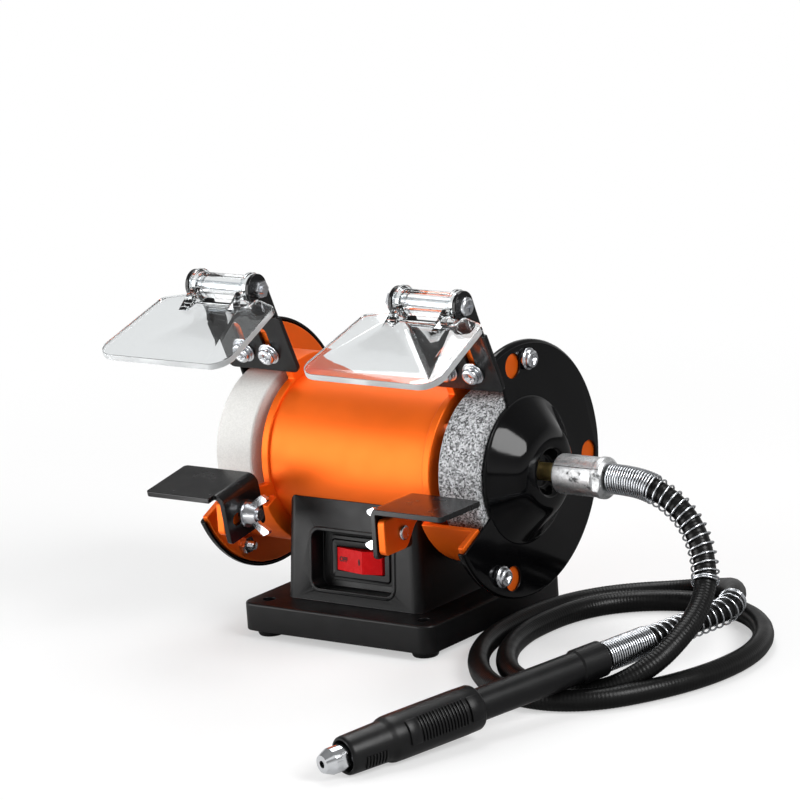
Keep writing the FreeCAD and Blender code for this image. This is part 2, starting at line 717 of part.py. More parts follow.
def motor_tie_bolts():
    """Long bolts that clamp both guard castings to the motor tube."""
    bolts = []
    for y, z in tie_bolt_spots():
        head = rod(TIE_HEAD_R, WALL_FACE, WALL_FACE + TIE_HEAD_H, y, z)
        nut = hexagon(TIE_HEAD_R * 2, -WALL_FACE - TIE_HEAD_H, -WALL_FACE, y, z)
        shank = rod(TIE_BOLT_R, -WALL_FACE - TIE_HEAD_H - 1, WALL_FACE + 1, y, z)
        bolts.append(fused(shank, head, nut))
    return Part.makeCompound(bolts)


def slot_cutters(width, low, high, x0, x1):
    """Radial bars in the stator's slots."""
    bars = []
    for k in range(SLOT_COUNT):
        bar = block(x0, x1, -width / 2, width / 2, AXIS_Z + low, AXIS_Z + high)
        bar.rotate(V(0, 0, AXIS_Z), V(1, 0, 0), 360 / SLOT_COUNT * k)
        bars.append(bar)
    return bars


def stator_core():
    """Laminated stator with winding slots."""
    core = ring(TUBE_IN_R - PRESS_GAP, STATOR_BORE_R, -STATOR_HALF, STATOR_HALF)
    x = STATOR_HALF + 1
    core = core.cut(Part.makeCompound(slot_cutters(SLOT_W, STATOR_BORE_R + 1.5, SLOT_BOTTOM_R, -x, x)))
    core = core.cut(Part.makeCompound(slot_cutters(SLOT_MOUTH, STATOR_BORE_R - 1, SLOT_BOTTOM_R, -x, x)))
    for y, z in tie_bolt_spots():
        core = core.cut(rod(TIE_BOLT_R + BOLT_GAP, -x, x, y, z))
    return core


def stator_winding():
    """Copper in the slots with its end turns."""
    low = STATOR_BORE_R + 1.5 + WINDING_GAP
    high = SLOT_BOTTOM_R - WINDING_GAP
    reach = STATOR_HALF + WINDING_GAP
    bars = slot_cutters(SLOT_W - 2 * WINDING_GAP, low, high - 0.4, -reach - 1, reach + 1)
    turns = []
    for x0, x1 in ((reach, reach + END_TURN_L), (-reach - END_TURN_L, -reach)):
        turn = ring(high, low, x0, x1)
        outer = [e for e in turn.Edges if len(e.Vertexes) == 1 and abs(e.BoundBox.XMax) > reach + 1]
        turns.append(turn.makeFillet(1.8, outer))
    return fused(turns[0], turns[1], *bars)


def rotor_core():
    """Laminated rotor."""
    return ring(ROTOR_R, CORE_SHAFT_R + PRESS_GAP, -STATOR_HALF, STATOR_HALF)


def rotor_end_rings():
    """Cast end rings of the rotor, with blades that stir the air."""
    outer = ROTOR_R - 1.0
    hoop = ring(outer, END_RING_IN_R, STATOR_HALF, STATOR_HALF + END_RING_L)
    blades = []
    for k in range(END_FIN_COUNT):
        blade = block(STATOR_HALF + END_RING_L - 1, STATOR_HALF + END_RING_L + END_FIN_L,
                      -END_FIN_T / 2, END_FIN_T / 2, AXIS_Z + END_RING_IN_R + 1, AXIS_Z + outer - 1)
        blade.rotate(V(0, 0, AXIS_Z), V(1, 0, 0), 360 / END_FIN_COUNT * k)
        blades.append(blade)
    return both(fused(hoop, *blades))


def motor_shaft():
    """Spindle through both wheels, with the drive end for the flexible shaft."""
    end = NUT_END + SPINDLE_STUB
    tip = NUT_END + DRIVE_END_L
    return turned([(-end, 0), (-end, SPINDLE_R - 0.8), (-end + 0.8, SPINDLE_R),
                   (-CORE_SHAFT_HALF, SPINDLE_R), (-CORE_SHAFT_HALF, CORE_SHAFT_R),
                   (CORE_SHAFT_HALF, CORE_SHAFT_R), (CORE_SHAFT_HALF, SPINDLE_R),
                   (NUT_END, SPINDLE_R), (NUT_END, DRIVE_END_R), (tip, DRIVE_END_R), (tip, 0)])


def ball_track():
    """Ring of space that the balls of one bearing run in."""
    middle = (BEARING_IN + BEARING_OUT) / 2
    return Part.makeTorus(BEARING_PITCH_R, BEARING_BALL_R + BALL_GAP, V(middle, 0, AXIS_Z), V(1, 0, 0))


def bearing_outer_rings():
    """Outer races, fixed in the guard castings."""
    race = ring(BEARING_R, BEARING_R - BEARING_RING, BEARING_IN, BEARING_OUT)
    return both(race.cut(ball_track()))


def bearing_inner_rings():
    """Inner races, turning with the spindle."""
    bore = SPINDLE_R + PRESS_GAP
    race = ring(bore + BEARING_RING, bore, BEARING_IN, BEARING_OUT)
    return both(race.cut(ball_track()))


def bearing_balls():
    """Balls of both bearings."""
    middle = (BEARING_IN + BEARING_OUT) / 2
    balls = []
    for k in range(BEARING_BALLS):
        y, z = around(BEARING_PITCH_R, 360 / BEARING_BALLS * k)
        balls.append(Part.makeSphere(BEARING_BALL_R, V(middle, y, z)))
    return both(Part.makeCompound(balls))


# Guards

def fix_spots():
    """Centres of the cover's fixing screws, as (y, z)."""
    return [around(COVER_HOLE_CIRCLE + 1, a + FIX_TURN) for a in COVER_HOLE_ANGLES]


def rest_tab():
    """Plate that reaches forward to carry the tool rest's stud."""
    x = TUBE_HALF
    inner = -WALL_CUT_R + GUARD_WALL
    front = STUD_Y - TAB_REACH
    low = STUD_Z - TAB_FALL
    high = STUD_Z + TAB_RISE
    root = STUD_Z + STUD_R
    turn = STUD_Y + STUD_R
    back = turn + (root - low) / math.tan(math.radians(TAB_SLOPE))
    curve = [V(x, turn, low), V(x, back, root), V(x, inner, root)]
    face = rounded_face([V(x, inner, high), V(x, front, high), V(x, front, low)] + curve,
                        [0, TAB_CORNER_R, TAB_CORNER_R, TAB_CURVE_R, TAB_CURVE_R, 0])
    return face.extrude(V(GUARD_WALL, 0, 0))


def bracket_screw_spots():
    """Screws of the spark bracket in its own plane, as (x, away from the spindle)."""
    return [(BRACKET_MID + s * SLOT_PAIR / 2, BRACKET_SCREW_AT) for s in (-1, 1)]


def wheel_guard():
    """Right-hand guard casting: end bell, drum, flange, lip and rest tab."""
    far = COVER_IN
    high = BRACKET_ANGLE
    wall = rod(DRUM_R, TUBE_HALF, WALL_FACE).cut(wedge(OPEN_LOW, high, WALL_CUT_R, TUBE_HALF - 1, far))
    drum = ring(DRUM_R, DRUM_IN_R, TUBE_HALF + 1, far)
    flange = ring(FLANGE_R, DRUM_IN_R, far - FLANGE_T, far)
    mouth = wedge(OPEN_LOW, high, WALL_CUT_R, TUBE_HALF, far + 1)
    lip_back = LIP_FRONT - LIP_T
    lip_room = on_bracket(block(0, 120, 20, 90, LIP_FRONT, 40))
    shell = drum.fuse(flange).cut(mouth).cut(lip_room)
    lip = on_bracket(block(TUBE_HALF, far - FLANGE_T + 0.5, DRUM_IN_R, LIP_TOP, lip_back, LIP_FRONT))
    wall = wall.cut(on_bracket(block(0, 120, WALL_CUT_R, 90, LIP_FRONT, 40)))
    boss = rod(BEARING_R + BOSS_WALL, BEARING_IN, TUBE_HALF + 1)
    spigot_out = TUBE_IN_R - SLIDE_GAP
    spigot = ring(spigot_out, spigot_out - SPIGOT_WALL, TUBE_HALF - SPIGOT_L, TUBE_HALF + 1)
    guard = fused(wall, shell, lip, boss, spigot, rest_tab())
    guard = guard.cut(rod(BEARING_R + PRESS_GAP, 0, BEARING_OUT + SLIDE_GAP))
    guard = guard.cut(rod(CLAMP_HUB_R + HUB_GAP, 0, far + 5))
    for y, z in fix_spots():
        guard = guard.cut(rod(FIX_R + BOLT_GAP, far - FLANGE_T - 1, far + 1, y, z))
    for y, z in tie_bolt_spots():
        guard = guard.cut(rod(TIE_BOLT_R + BOLT_GAP, 0, WALL_FACE + 1, y, z))
    for x, away in bracket_screw_spots():
        hole = Part.makeCylinder(BRACKET_SCREW_R + BOLT_GAP, 20, V(x, away, LIP_FRONT - 10))
        guard = guard.cut(on_bracket(hole))
    return guard.cut(rod(STUD_R + RUN_GAP, 0, WALL_FACE + 5, STUD_Y, STUD_Z))


def wheel_cover(middle, bends):
    """Right-hand pressed side cover with its dome, whose middle has the given points and outer radii."""
    line = [(COVER_FACE - RIM_DEPTH, COVER_R), (COVER_FACE, COVER_R), (COVER_FACE, DOME_BASE_R),
            (DOME_CREST - DOME_CROWN, DOME_SHOULDER_R), *middle]
    outside = rounded_wire([V(x, 0, AXIS_Z + r) for x, r in line], [0, *DOME_BENDS, *bends, 0])
    sheet = outside.makeOffset2D(COVER_T, 0, True, True)
    if sheet.BoundBox.XMax > DOME_CREST + 0.1:
        sheet = outside.makeOffset2D(-COVER_T, 0, True, True)
    cover = sheet.revolve(V(0, 0, AXIS_Z), V(1, 0, 0), 360)
    cover = Part.makeSolid(cover) if cover.ShapeType == "Shell" else cover
    cover = cover.cut(wedge(COVER_OPEN_LOW, COVER_OPEN_HIGH, DOME_BASE_R + OPENING_LIP,
                            COVER_FACE - RIM_DEPTH - 1, DOME_CREST + 1))
    for angle in COVER_HOLE_ANGLES:
        y, z = around(COVER_HOLE_CIRCLE, angle)
        cover = cover.cut(rod(COVER_HOLE_R, COVER_IN - 1, COVER_FACE + 1, y, z))
    for y, z in fix_spots():
        cover = cover.cut(rod(FIX_R + BOLT_GAP, COVER_IN - 1, COVER_FACE + 1, y, z))
    return cover


def dished_cover():
    """Right-hand cover, dished in the middle round the spigot."""
    dish = [(DOME_CREST, CROWN_R), (DISH_FACE, DISH_R), (DISH_FACE, SPIGOT_R + PRESS_GAP)]
    return wheel_cover(dish, DISH_BENDS)


def closed_cover():
    """Right-hand cover with its crown closed."""
    return wheel_cover([(DOME_CREST, CROWN_R), (DOME_CREST, 0)], [CROWN_BEND])


def pan_screw(radius, head_r, head_h, length):
    """Pan-head screw along X with its head's underside at x = 0."""
    head = Part.makeCylinder(head_r, head_h, V(0, 0, 0), V(1, 0, 0))
    top = [e for e in head.Edges if e.BoundBox.XMin > head_h - 0.01]
    head = head.makeFillet(head_h * 0.55, top)
    slot = block(head_h * 0.55, head_h + 1, -head_r * 0.6, head_r * 0.6, -0.45, 0.45)
    cross = block(head_h * 0.55, head_h + 1, -0.45, 0.45, -head_r * 0.6, head_r * 0.6)
    shank = Part.makeCylinder(radius, length + 0.5, V(-length, 0, 0), V(1, 0, 0))
    return fused(head.cut(slot).cut(cross), shank)


def cover_screws():
    """Screws with washers that hold the side covers."""
    length = COVER_FACE + FIX_WASHER_T - (COVER_IN - FLANGE_T - FIX_NUT_T - FIX_TAIL)
    washer = Part.makeCylinder(FIX_WASHER_R, FIX_WASHER_T, V(-FIX_WASHER_T, 0, 0), V(1, 0, 0))
    screw = fused(pan_screw(FIX_R, FIX_HEAD_R, FIX_HEAD_H, length), washer)
    screws = []
    for y, z in fix_spots():
        copy = screw.copy()
        copy.translate(V(COVER_FACE + FIX_WASHER_T, y, z))
        screws.append(copy)
    return both(Part.makeCompound(screws))


def cover_nuts():
    """Nuts behind the guard flanges."""
    face = COVER_IN - FLANGE_T
    nuts = []
    for y, z in fix_spots():
        nut = hexagon(FIX_NUT_AF, face - FIX_NUT_T, face, y, z)
        nuts.append(nut.cut(rod(FIX_R + PRESS_GAP, face - FIX_NUT_T - 1, face + 1, y, z)))
    return both(Part.makeCompound(nuts))


# Wheels

def grinding_wheel():
    """Right-hand grinding wheel."""
    bore = SPINDLE_R + PRESS_GAP
    b = WHEEL_BEVEL
    return turned([(WHEEL_IN, bore), (WHEEL_IN, WHEEL_R - b), (WHEEL_IN + b, WHEEL_R),
                   (WHEEL_OUT - b, WHEEL_R), (WHEEL_OUT, WHEEL_R - b), (WHEEL_OUT, bore)])


def inner_wheel_flanges():
    """Flanged spacers between the bearings and the wheels."""
    bore = SPINDLE_R + PRESS_GAP
    start = BEARING_OUT
    step = WHEEL_IN - CLAMP_T
    return both(turned([(start, bore), (start, CLAMP_HUB_R), (step, CLAMP_HUB_R), (step, CLAMP_R),
                        (WHEEL_IN, CLAMP_R), (WHEEL_IN, bore)]))


def outer_wheel_flanges():
    """Clamping flanges outside the wheels."""
    bore = SPINDLE_R + PRESS_GAP
    return both(turned([(WHEEL_OUT, bore), (WHEEL_OUT, CLAMP_R), (WHEEL_OUT + 1.2, CLAMP_R),
                        (NUT_START, CLAMP_R - 2.5), (NUT_START, bore)]))


def wheel_nuts():
    """Spindle nuts, left-hand thread on the left end."""
    nut = hexagon(NUT_AF, NUT_START, NUT_END)
    return both(nut.cut(rod(SPINDLE_R + PRESS_GAP, NUT_START - 1, NUT_END + 1)))


# Spark brackets and eye shields

def spark_bracket():
    """Right-hand sheet bracket with two slots and two ears for the shield's hinge."""
    half = BRACKET_W / 2
    neck = half - BRACKET_SHOULDER_W
    left = BRACKET_MID - half
    right = BRACKET_MID + half
    outline = [V(left, BRACKET_LOW, -BRACKET_T), V(right, BRACKET_LOW, -BRACKET_T),
               V(right, BRACKET_SHOULDER, -BRACKET_T),
               V(BRACKET_MID + neck, BRACKET_SHOULDER, -BRACKET_T),
               V(BRACKET_MID + neck, BRACKET_NECK, -BRACKET_T),
               V(BRACKET_MID - neck, BRACKET_NECK, -BRACKET_T),
               V(BRACKET_MID - neck, BRACKET_SHOULDER, -BRACKET_T),
               V(left, BRACKET_SHOULDER, -BRACKET_T)]
    corner = BRACKET_CORNER_R
    turn = BRACKET_SHOULDER_W * 0.4
    plate = rounded_face(outline, [corner, corner, turn, 0, 0, 0, 0, turn]).extrude(V(0, 0, BRACKET_T))
    for x, away in bracket_screw_spots():
        width = BRACKET_SCREW_R + BOLT_GAP
        middle = (BRACKET_SLOT_LOW + BRACKET_SLOT_HIGH) / 2
        length = (BRACKET_SLOT_HIGH - BRACKET_SLOT_LOW) / 2
        plate = plate.cut(slab(width, length, -BRACKET_T - 1, 1, width - 0.01, x, middle))
    ears = []
    for start in (BRACKET_MID - neck, BRACKET_MID + neck - BRACKET_T):
        side = polygon([V(start, EAR_ROOT, -BRACKET_T), V(start, HINGE_AT, HINGE_OUT - EAR_R),
                        V(start, HINGE_AT, HINGE_OUT + EAR_R), V(start, EAR_ROOT + 4, 0)])
        knuckle = Part.makeCylinder(EAR_R, BRACKET_T, V(start, HINGE_AT, HINGE_OUT), V(1, 0, 0))
        ears.append(side.extrude(V(BRACKET_T, 0, 0)).fuse(knuckle))
    bracket = fused(plate, *ears)
    pin = Part.makeCylinder(HINGE_PIN_R + PRESS_GAP, 200, V(-50, HINGE_AT, HINGE_OUT), V(1, 0, 0))
    return on_bracket(bracket.cut(pin))


def bracket_screws():
    """Screws through the bracket slots into the guards' lips."""
    length = BRACKET_T + SLIDE_GAP + LIP_T + HINGE_NUT_T + 1.5
    screw = pan_screw(BRACKET_SCREW_R, BRACKET_SCREW_HEAD_R, BRACKET_SCREW_HEAD_H, length)
    screw.rotate(V(0, 0, 0), V(0, 1, 0), -90)
    screws = []
    for x, away in bracket_screw_spots():
        copy = screw.copy()
        copy.translate(V(x, away, SLIDE_GAP))
        screws.append(on_bracket(copy))
    return both(Part.makeCompound(screws))


def bracket_nuts():
    """Nuts behind the guards' lips."""
    face = LIP_FRONT - LIP_T
    nuts = []
    for x, away in bracket_screw_spots():
        nut = hexagon(FIX_NUT_AF, 0, FIX_NUT_T, 0, 0)
        nut = nut.cut(rod(BRACKET_SCREW_R + PRESS_GAP, -1, FIX_NUT_T + 1, 0, 0))
        nut.rotate(V(0, 0, 0), V(0, 1, 0), 90)
        nut.translate(V(x, away, face))
        nuts.append(on_bracket(nut))
    return both(Part.makeCompound(nuts))


def hinge_point():
    """Hinge axis of the right-hand shield, as (y, z)."""
    turn = math.radians(BRACKET_ANGLE)
    y = -HINGE_AT * math.cos(turn) - HINGE_OUT * math.sin(turn)
    z = AXIS_Z + HINGE_AT * math.sin(turn) - HINGE_OUT * math.cos(turn)
    return y, z


def ear_face():
    """Half width over the outside of the bracket's ears."""
    return BRACKET_W / 2 - BRACKET_SHOULDER_W


def hinge_screw():
    """Screw that the right-hand shield swings on."""
    outside = BRACKET_MID + ear_face()
    length = 2 * ear_face() + HINGE_NUT_T + 1.0
    screw = pan_screw(HINGE_PIN_R, HINGE_HEAD_R, HINGE_HEAD_H, length)
    y, z = hinge_point()
    screw.translate(V(outside, y, z))
    return screw


def hinge_nut():
    """Nut on the hinge screw's inner end."""
    inside = BRACKET_MID - ear_face()
    y, z = hinge_point()
    nut = hexagon(HINGE_NUT_AF, inside - HINGE_NUT_T, inside, y, z)
    return nut.cut(rod(HINGE_PIN_R + PRESS_GAP, inside - HINGE_NUT_T - 1, inside + 1, y, z))


def eye_shield():
    """Right-hand clear shield: plate, two arms and hinge barrel."""
    half = ear_face() - BRACKET_T - EAR_CLEAR
    notch = ear_face() + EAR_CLEAR
    top = -SHIELD_DROP - SHIELD_T
    front = SHIELD_FRONT_W / 2
    back = SHIELD_BACK_W / 2
    outline = [V(-front, SHIELD_REACH, top), V(-back, SHIELD_CORNER, top), V(-notch, SHIELD_BACK, top),
               V(-notch, SHIELD_NOTCH, top), V(notch, SHIELD_NOTCH, top), V(notch, SHIELD_BACK, top),
               V(back, SHIELD_CORNER, top), V(front, SHIELD_REACH, top)]
    bends = [SHIELD_FRONT_R, SHIELD_BACK_R, 1.5, 1.5, 1.5, 1.5, SHIELD_BACK_R, SHIELD_FRONT_R]
    plate = rounded_face(outline, bends).extrude(V(0, 0, SHIELD_T))
    barrel = Part.makeCylinder(BARREL_R, 2 * half, V(-half, 0, 0), V(1, 0, 0))
    arms = []
    for start in (-half, half - ARM_W):
        arm = polygon([V(start, 0, BARREL_R * 0.8), V(start, ARM_REACH, -SHIELD_DROP),
                       V(start, ARM_REACH, top), V(start, 0, -BARREL_R * 0.9)])
        arms.append(arm.extrude(V(ARM_W, 0, 0)))
    shield = fused(plate, barrel, *arms)
    pin = Part.makeCylinder(HINGE_PIN_R + RUN_GAP, 200, V(-100, 0, 0), V(1, 0, 0))
    turn = math.radians(SHIELD_TILT)
    y, z = hinge_point()
    forward = V(0, -math.cos(turn), -math.sin(turn))
    up = V(0, -math.sin(turn), math.cos(turn))
    return placed(mirrored(shield.cut(pin)), V(BRACKET_MID, y, z), V(-1, 0, 0), forward, up)


# Tool rests

def tool_rest():
    """Right-hand rest: bent plate with a slotted side."""
    outer = REST_INNER + REST_T + REST_W
    under = REST_TOP - REST_T
    start = REST_FRONT + REST_SIDE_SET
    line = [V(outer, start, REST_TOP), V(REST_INNER, start, REST_TOP), V(REST_INNER, start, REST_SIDE_LOW),
            V(STUD_FACE, start, REST_SIDE_LOW), V(STUD_FACE, start, under), V(outer, start, under)]
    bent = rounded_face(line, [0, REST_BEND_R, 0, 0, REST_BEND_R - REST_T, 0])
    bent = bent.extrude(V(0, REST_BACK - start, 0))
    front = block(REST_INNER + REST_BEND_R, outer, REST_FRONT, start + 1, under, REST_TOP)
    plan = [V(REST_INNER, REST_FRONT, 0), V(outer, REST_FRONT, 0), V(outer, REST_BACK, 0),
            V(REST_INNER, REST_BACK, 0)]
    above = rounded_face(plan, [0, REST_CORNER_R, REST_CORNER_R, 0]).extrude(V(0, 0, 2 * REST_TOP))
    side = [V(0, REST_FRONT, REST_TOP), V(0, REST_BACK, REST_TOP), V(0, REST_BACK, REST_SIDE_LOW),
            V(0, start, REST_SIDE_LOW), V(0, start, under - REST_BEND_R),
            V(0, REST_FRONT, under - REST_BEND_R)]
    beside = rounded_face(side, [0, 0, REST_CORNER_R, REST_CORNER_R, 0, 0]).extrude(V(2 * outer, 0, 0))
    rest = fused(bent, front).common(above).common(beside)
    reach = STUD_R + BOLT_GAP
    slot = slab(reach, REST_SLOT_HALF + reach, -1, REST_T + 1, reach - 0.01)
    slot = placed(slot, V(REST_INNER, STUD_Y, STUD_Z), V(0, 0, 1), V(0, -1, 0), V(1, 0, 0))
    return rest.cut(slot)


def rest_bolt():
    """Bolt through the guard's tab and the right-hand rest."""
    start = REST_INNER - SLIDE_GAP - REST_WASHER_T - WING_HUB_L - STUD_TAIL
    shank = rod(STUD_R, start, WALL_FACE + 1, STUD_Y, STUD_Z)
    head = rod(STUD_HEAD_R, WALL_FACE + SLIDE_GAP, WALL_FACE + SLIDE_GAP + STUD_HEAD_H, STUD_Y, STUD_Z)
    rim = [e for e in head.Edges if e.BoundBox.XMin > WALL_FACE + STUD_HEAD_H - 0.1]
    return fused(shank, head.makeFillet(STUD_HEAD_H * 0.7, rim))


def rest_washer():
    """Washer under the right-hand wing nut."""
    face = REST_INNER - SLIDE_GAP
    return ring(REST_WASHER_R, STUD_R + PRESS_GAP, face - REST_WASHER_T, face, STUD_Y, STUD_Z)


def wing_nut():
    """Right-hand wing nut."""
    face = REST_INNER - 2 * SLIDE_GAP - REST_WASHER_T
    end = face - WING_HUB_L
    hub = Part.makeCone(WING_HUB_R, WING_HUB_R * 0.72, WING_HUB_L, V(face, STUD_Y, STUD_Z), V(-1, 0, 0))
    wings = []
    for side in (-1, 1):
        tip = end - WING_RISE
        corners = [V(face - 1, STUD_Y, 0), V(face - 1, STUD_Y + side * WING_W, 0),
                   V(tip + WING_W, STUD_Y + side * WING_SPAN, 0),
                   V(tip, STUD_Y + side * (WING_SPAN - WING_W / 2), 0),
                   V(end, STUD_Y + side * (STUD_R + 1), 0), V(end, STUD_Y, 0)]
        blade = rounded_face(corners, [0, 2.0, 1.0, 1.0, 2.0, 0]).extrude(V(0, 0, WING_T))
        blade.translate(V(0, 0, STUD_Z - WING_T / 2))
        wings.append(blade)
    nut = fused(hub, *wings)
    nut = nut.cut(rod(STUD_R + RUN_GAP, end - 20, face + 1, STUD_Y, STUD_Z))
    nut.rotate(V(0, STUD_Y, STUD_Z), V(1, 0, 0), WING_TURN)
    return nut


def tilted_left(shape):
    """Mirror image on the left, leaning down to the front about its stud."""
    other = mirrored(shape)
    other.rotate(V(0, STUD_Y, STUD_Z), V(1, 0, 0), REST_LEFT_TILT)
    return other


# Flexible shaft

def brass_spigot():
    """Threaded spigot in the right-hand cover that the coupling screws on."""
    face = DISH_FACE - COVER_T
    flange = face - SPIGOT_FLANGE_T
    end = DISH_FACE + SPIGOT_REACH
    return turned([(flange, SPIGOT_BORE_R), (flange, SPIGOT_FLANGE_R), (face, SPIGOT_FLANGE_R),
                   (face, SPIGOT_R), (end, SPIGOT_R), (end, SPIGOT_BORE_R)])


def coupling_collar():
    """Coupling that holds the sheath on the spigot."""
    seat = DISH_FACE + SPIGOT_REACH + SLIDE_GAP
    bore = SPIGOT_R + PRESS_GAP
    collar = turned([(COLLAR_START, bore), (COLLAR_START, COLLAR_R - 1), (COLLAR_START + 1, COLLAR_R),
                     (COLLAR_END, COLLAR_R), (COLLAR_END + 1.5, COLLAR_RING_R),
                     (COLLAR_FACE - 1.5, COLLAR_RING_R), (COLLAR_FACE, COLLAR_RING_R - 1.5),
                     (COLLAR_FACE, 0), (COLLAR_FACE - 3, 0), (COLLAR_FACE - 3, SPIGOT_BORE_R),
                     (seat, SPIGOT_BORE_R), (seat, bore)])
    flats = []
    for side in (-1, 1):
        y = side * (COLLAR_RING_R + 8.9)
        flats.append(block(COLLAR_END + 1, COLLAR_FACE + 1, y - 10, y + 10, AXIS_Z - 20, AXIS_Z + 20))
    return collar.cut(Part.makeCompound(flats))


def route_wire():
    """Sheath's centre line: straight runs joined by arcs as large as the runs allow."""
    spots = [V(*p) for p in ROUTE]
    radii = [0.0] * len(spots)
    for i in range(1, len(spots) - 1):
        a = spots[i - 1] - spots[i]
        b = spots[i + 1] - spots[i]
        half = (math.pi - a.getAngle(b)) / 2
        radii[i] = 0.45 * min(a.Length, b.Length) / math.tan(half)
    print("sheath radii", " ".join(str(round(r)) for r in radii[1:-1]))
    return rounded_wire(spots, radii)


def flex_sheath(route):
    """Sheath of the flexible shaft."""
    start = V(*ROUTE[0])
    along = V(*ROUTE[1]) - start
    circle = Part.Wire(Part.Circle(start, along, SHEATH_R).toShape())
    tube = route.makePipeShell([circle], True, False)
    plain = math.pi * SHEATH_R ** 2 * route.Length
    print("sheath length", round(route.Length, 1), "volume share", round(tube.Volume / plain, 4))
    return tube


def frames_along(wire, step, backwards):
    """Points along a wire with a steady pair of cross axes: (point, tangent, side, up)."""
    spots = wire.discretize(Number=int(wire.Length / step) + 1)
    if backwards:
        spots = spots[::-1]
    frames = []
    side = V(0, 1, 0)
    for i in range(len(spots) - 1):
        tangent = (spots[i + 1] - spots[max(i - 1, 0)]).normalize()
        side = (side - tangent * side.dot(tangent)).normalize()
        frames.append((spots[i], tangent, side, tangent.cross(side)))
    return frames, wire.Length / (len(spots) - 1)


def biarc(p, t, q, w):
    """Two arcs from p along t to q along w, as edges."""
    gap = q - p
    both_ways = t + w
    square = 2 * (1 - t.dot(w))
    lean = gap.dot(both_ways)
    reach = (math.sqrt(lean ** 2 + square * gap.dot(gap)) - lean) / square
    joint = (p + t * reach + q - w * reach) * 0.5
    edges = []
    for start, corner, end in ((p, p + t * reach, joint), (joint, q - w * reach, q)):
        chord = (start + end) * 0.5
        rise = corner - chord
        half = math.atan2(rise.Length, (end - start).Length / 2)
        sag = (end - start).Length / 2 * math.tan(half / 2)
        edges.append(Part.Arc(start, chord + rise.normalize() * sag, end).toShape())
    return edges


def spring(name, route, backwards, close_turns, open_turns):
    """Wire spring round the sheath: close turns at the end it starts from, then open ones."""
    frames, step = frames_along(route, 0.2, backwards)
    quarters = 4 * (close_turns + open_turns)

    def pitch(k):
        if k < 4:
            return SPRING_CLOSE_PITCH + SPRING_WIRE * 0.4
        if k < 4 * close_turns:
            return SPRING_CLOSE_PITCH
        if k > quarters - 7:
            return SPRING_END_PITCH
        ramp = min(1.0, (k - 4 * close_turns + 1) / 4, (quarters - 6 - k) / 4)
        return SPRING_CLOSE_PITCH + (SPRING_OPEN_PITCH - SPRING_CLOSE_PITCH) * ramp

    def place(along, turn, radius):
        spot = along / step
        low = min(int(spot), len(frames) - 2)
        share = spot - low
        a = frames[low]
        b = frames[low + 1]
        centre = a[0] + (b[0] - a[0]) * share
        return centre + (a[2] * math.cos(turn) + a[3] * math.sin(turn)) * radius

    def radius_at(k):
        share = max(0.0, min(1.0, (k - 4 * close_turns) / 8))
        return SPRING_CLOSE_R + (SPRING_OPEN_R - SPRING_CLOSE_R) * share

    stations = []
    along = SPRING_LEAD
    for k in range(quarters + 1):
        stations.append((along, math.pi / 2 * (k + 1), radius_at(k)))
        along += pitch(k) / 4
    line = []
    for (a0, t0, r0), (a1, t1, r1) in zip(stations[:-1], stations[1:]):
        for j in range(6):
            share = j / 6
            line.append(place(a0 + (a1 - a0) * share, t0 + (t1 - t0) * share, r0 + (r1 - r0) * share))
    knots = [line[i] for i in range(0, len(line), 6)]
    tangents = []
    for i in range(0, len(line), 6):
        tangents.append((line[min(i + 1, len(line) - 1)] - line[max(i - 1, 0)]).normalize())
    least = 1e9
    for i in range(len(line)):
        for j in range(i + 12, min(i + 40, len(line))):
            least = min(least, line[i].distanceToPoint(line[j]))
    print(name, "turns", quarters // 4, "least gap", round(least - SPRING_WIRE, 2))
    face = place(0.0, 0.0, SPRING_CLOSE_R)
    out = frames[0][1]
    lead = face + out * SPRING_WIRE
    edges = [Part.LineSegment(face, lead).toShape()]
    edges += biarc(lead, out, knots[0], tangents[0])
    for i in range(len(knots) - 1):
        edges += biarc(knots[i], tangents[i], knots[i + 1], tangents[i + 1])
    circle = Part.Wire(Part.Circle(face, out, SPRING_WIRE / 2).toShape())
    return Part.Wire(edges).makePipeShell([circle], True, False)


# Handpiece

def hand_axis():
    """Direction of the handpiece from its tip to its rear, and its length."""
    way = V(*ROUTE[-1]) - V(*TIP)
    return way.normalize(), (V(*ROUTE[-1]) - V(*TIP)).Length


def on_hand(shape):
    """Own X axis to the handpiece's axis, from its tip backwards."""
    along, length = hand_axis()
    side = V(0, 0, 1).cross(along).normalize()
    return placed(shape, V(*TIP), along, side, along.cross(side))


def collet_nut():
    """Collet nut at the handpiece's tip."""
    points = [(0, COLLET_BORE_R), (0, COLLET_TIP_R), (4.0, COLLET_R), (COLLET_L, COLLET_R),
              (COLLET_L, HAND_SPINDLE_R + PRESS_GAP), (6.0, HAND_SPINDLE_R + PRESS_GAP), (6.0, COLLET_BORE_R)]
    nut = turned(points, 0)
    for side in (-1, 1):
        y = side * (COLLET_R + 9.2)
        nut = nut.cut(block(7.0, 12.0, y - 10, y + 10, -20, 20))
    return on_hand(nut)


def handpiece_spindle():
    """Spindle inside the handpiece."""
    return on_hand(turned([(6.2, 0), (6.2, HAND_SPINDLE_R), (HAND_SPINDLE_END, HAND_SPINDLE_R),
                           (HAND_SPINDLE_END, 0)], 0))


def handpiece_bearings():
    """Plain bushes that carry the handpiece's spindle."""
    bushes = []
    front = BODY_FRONT + HAND_BEARING_IN
    rear = HAND_SPINDLE_END - HAND_BEARING_L - HAND_BEARING_IN
    for start in (front, rear):
        bush = ring(HAND_BORE_R - PRESS_GAP, HAND_SPINDLE_R + RUN_GAP, start, start + HAND_BEARING_L, 0, 0)
        bushes.append(on_hand(bush))
    return Part.makeCompound(bushes)


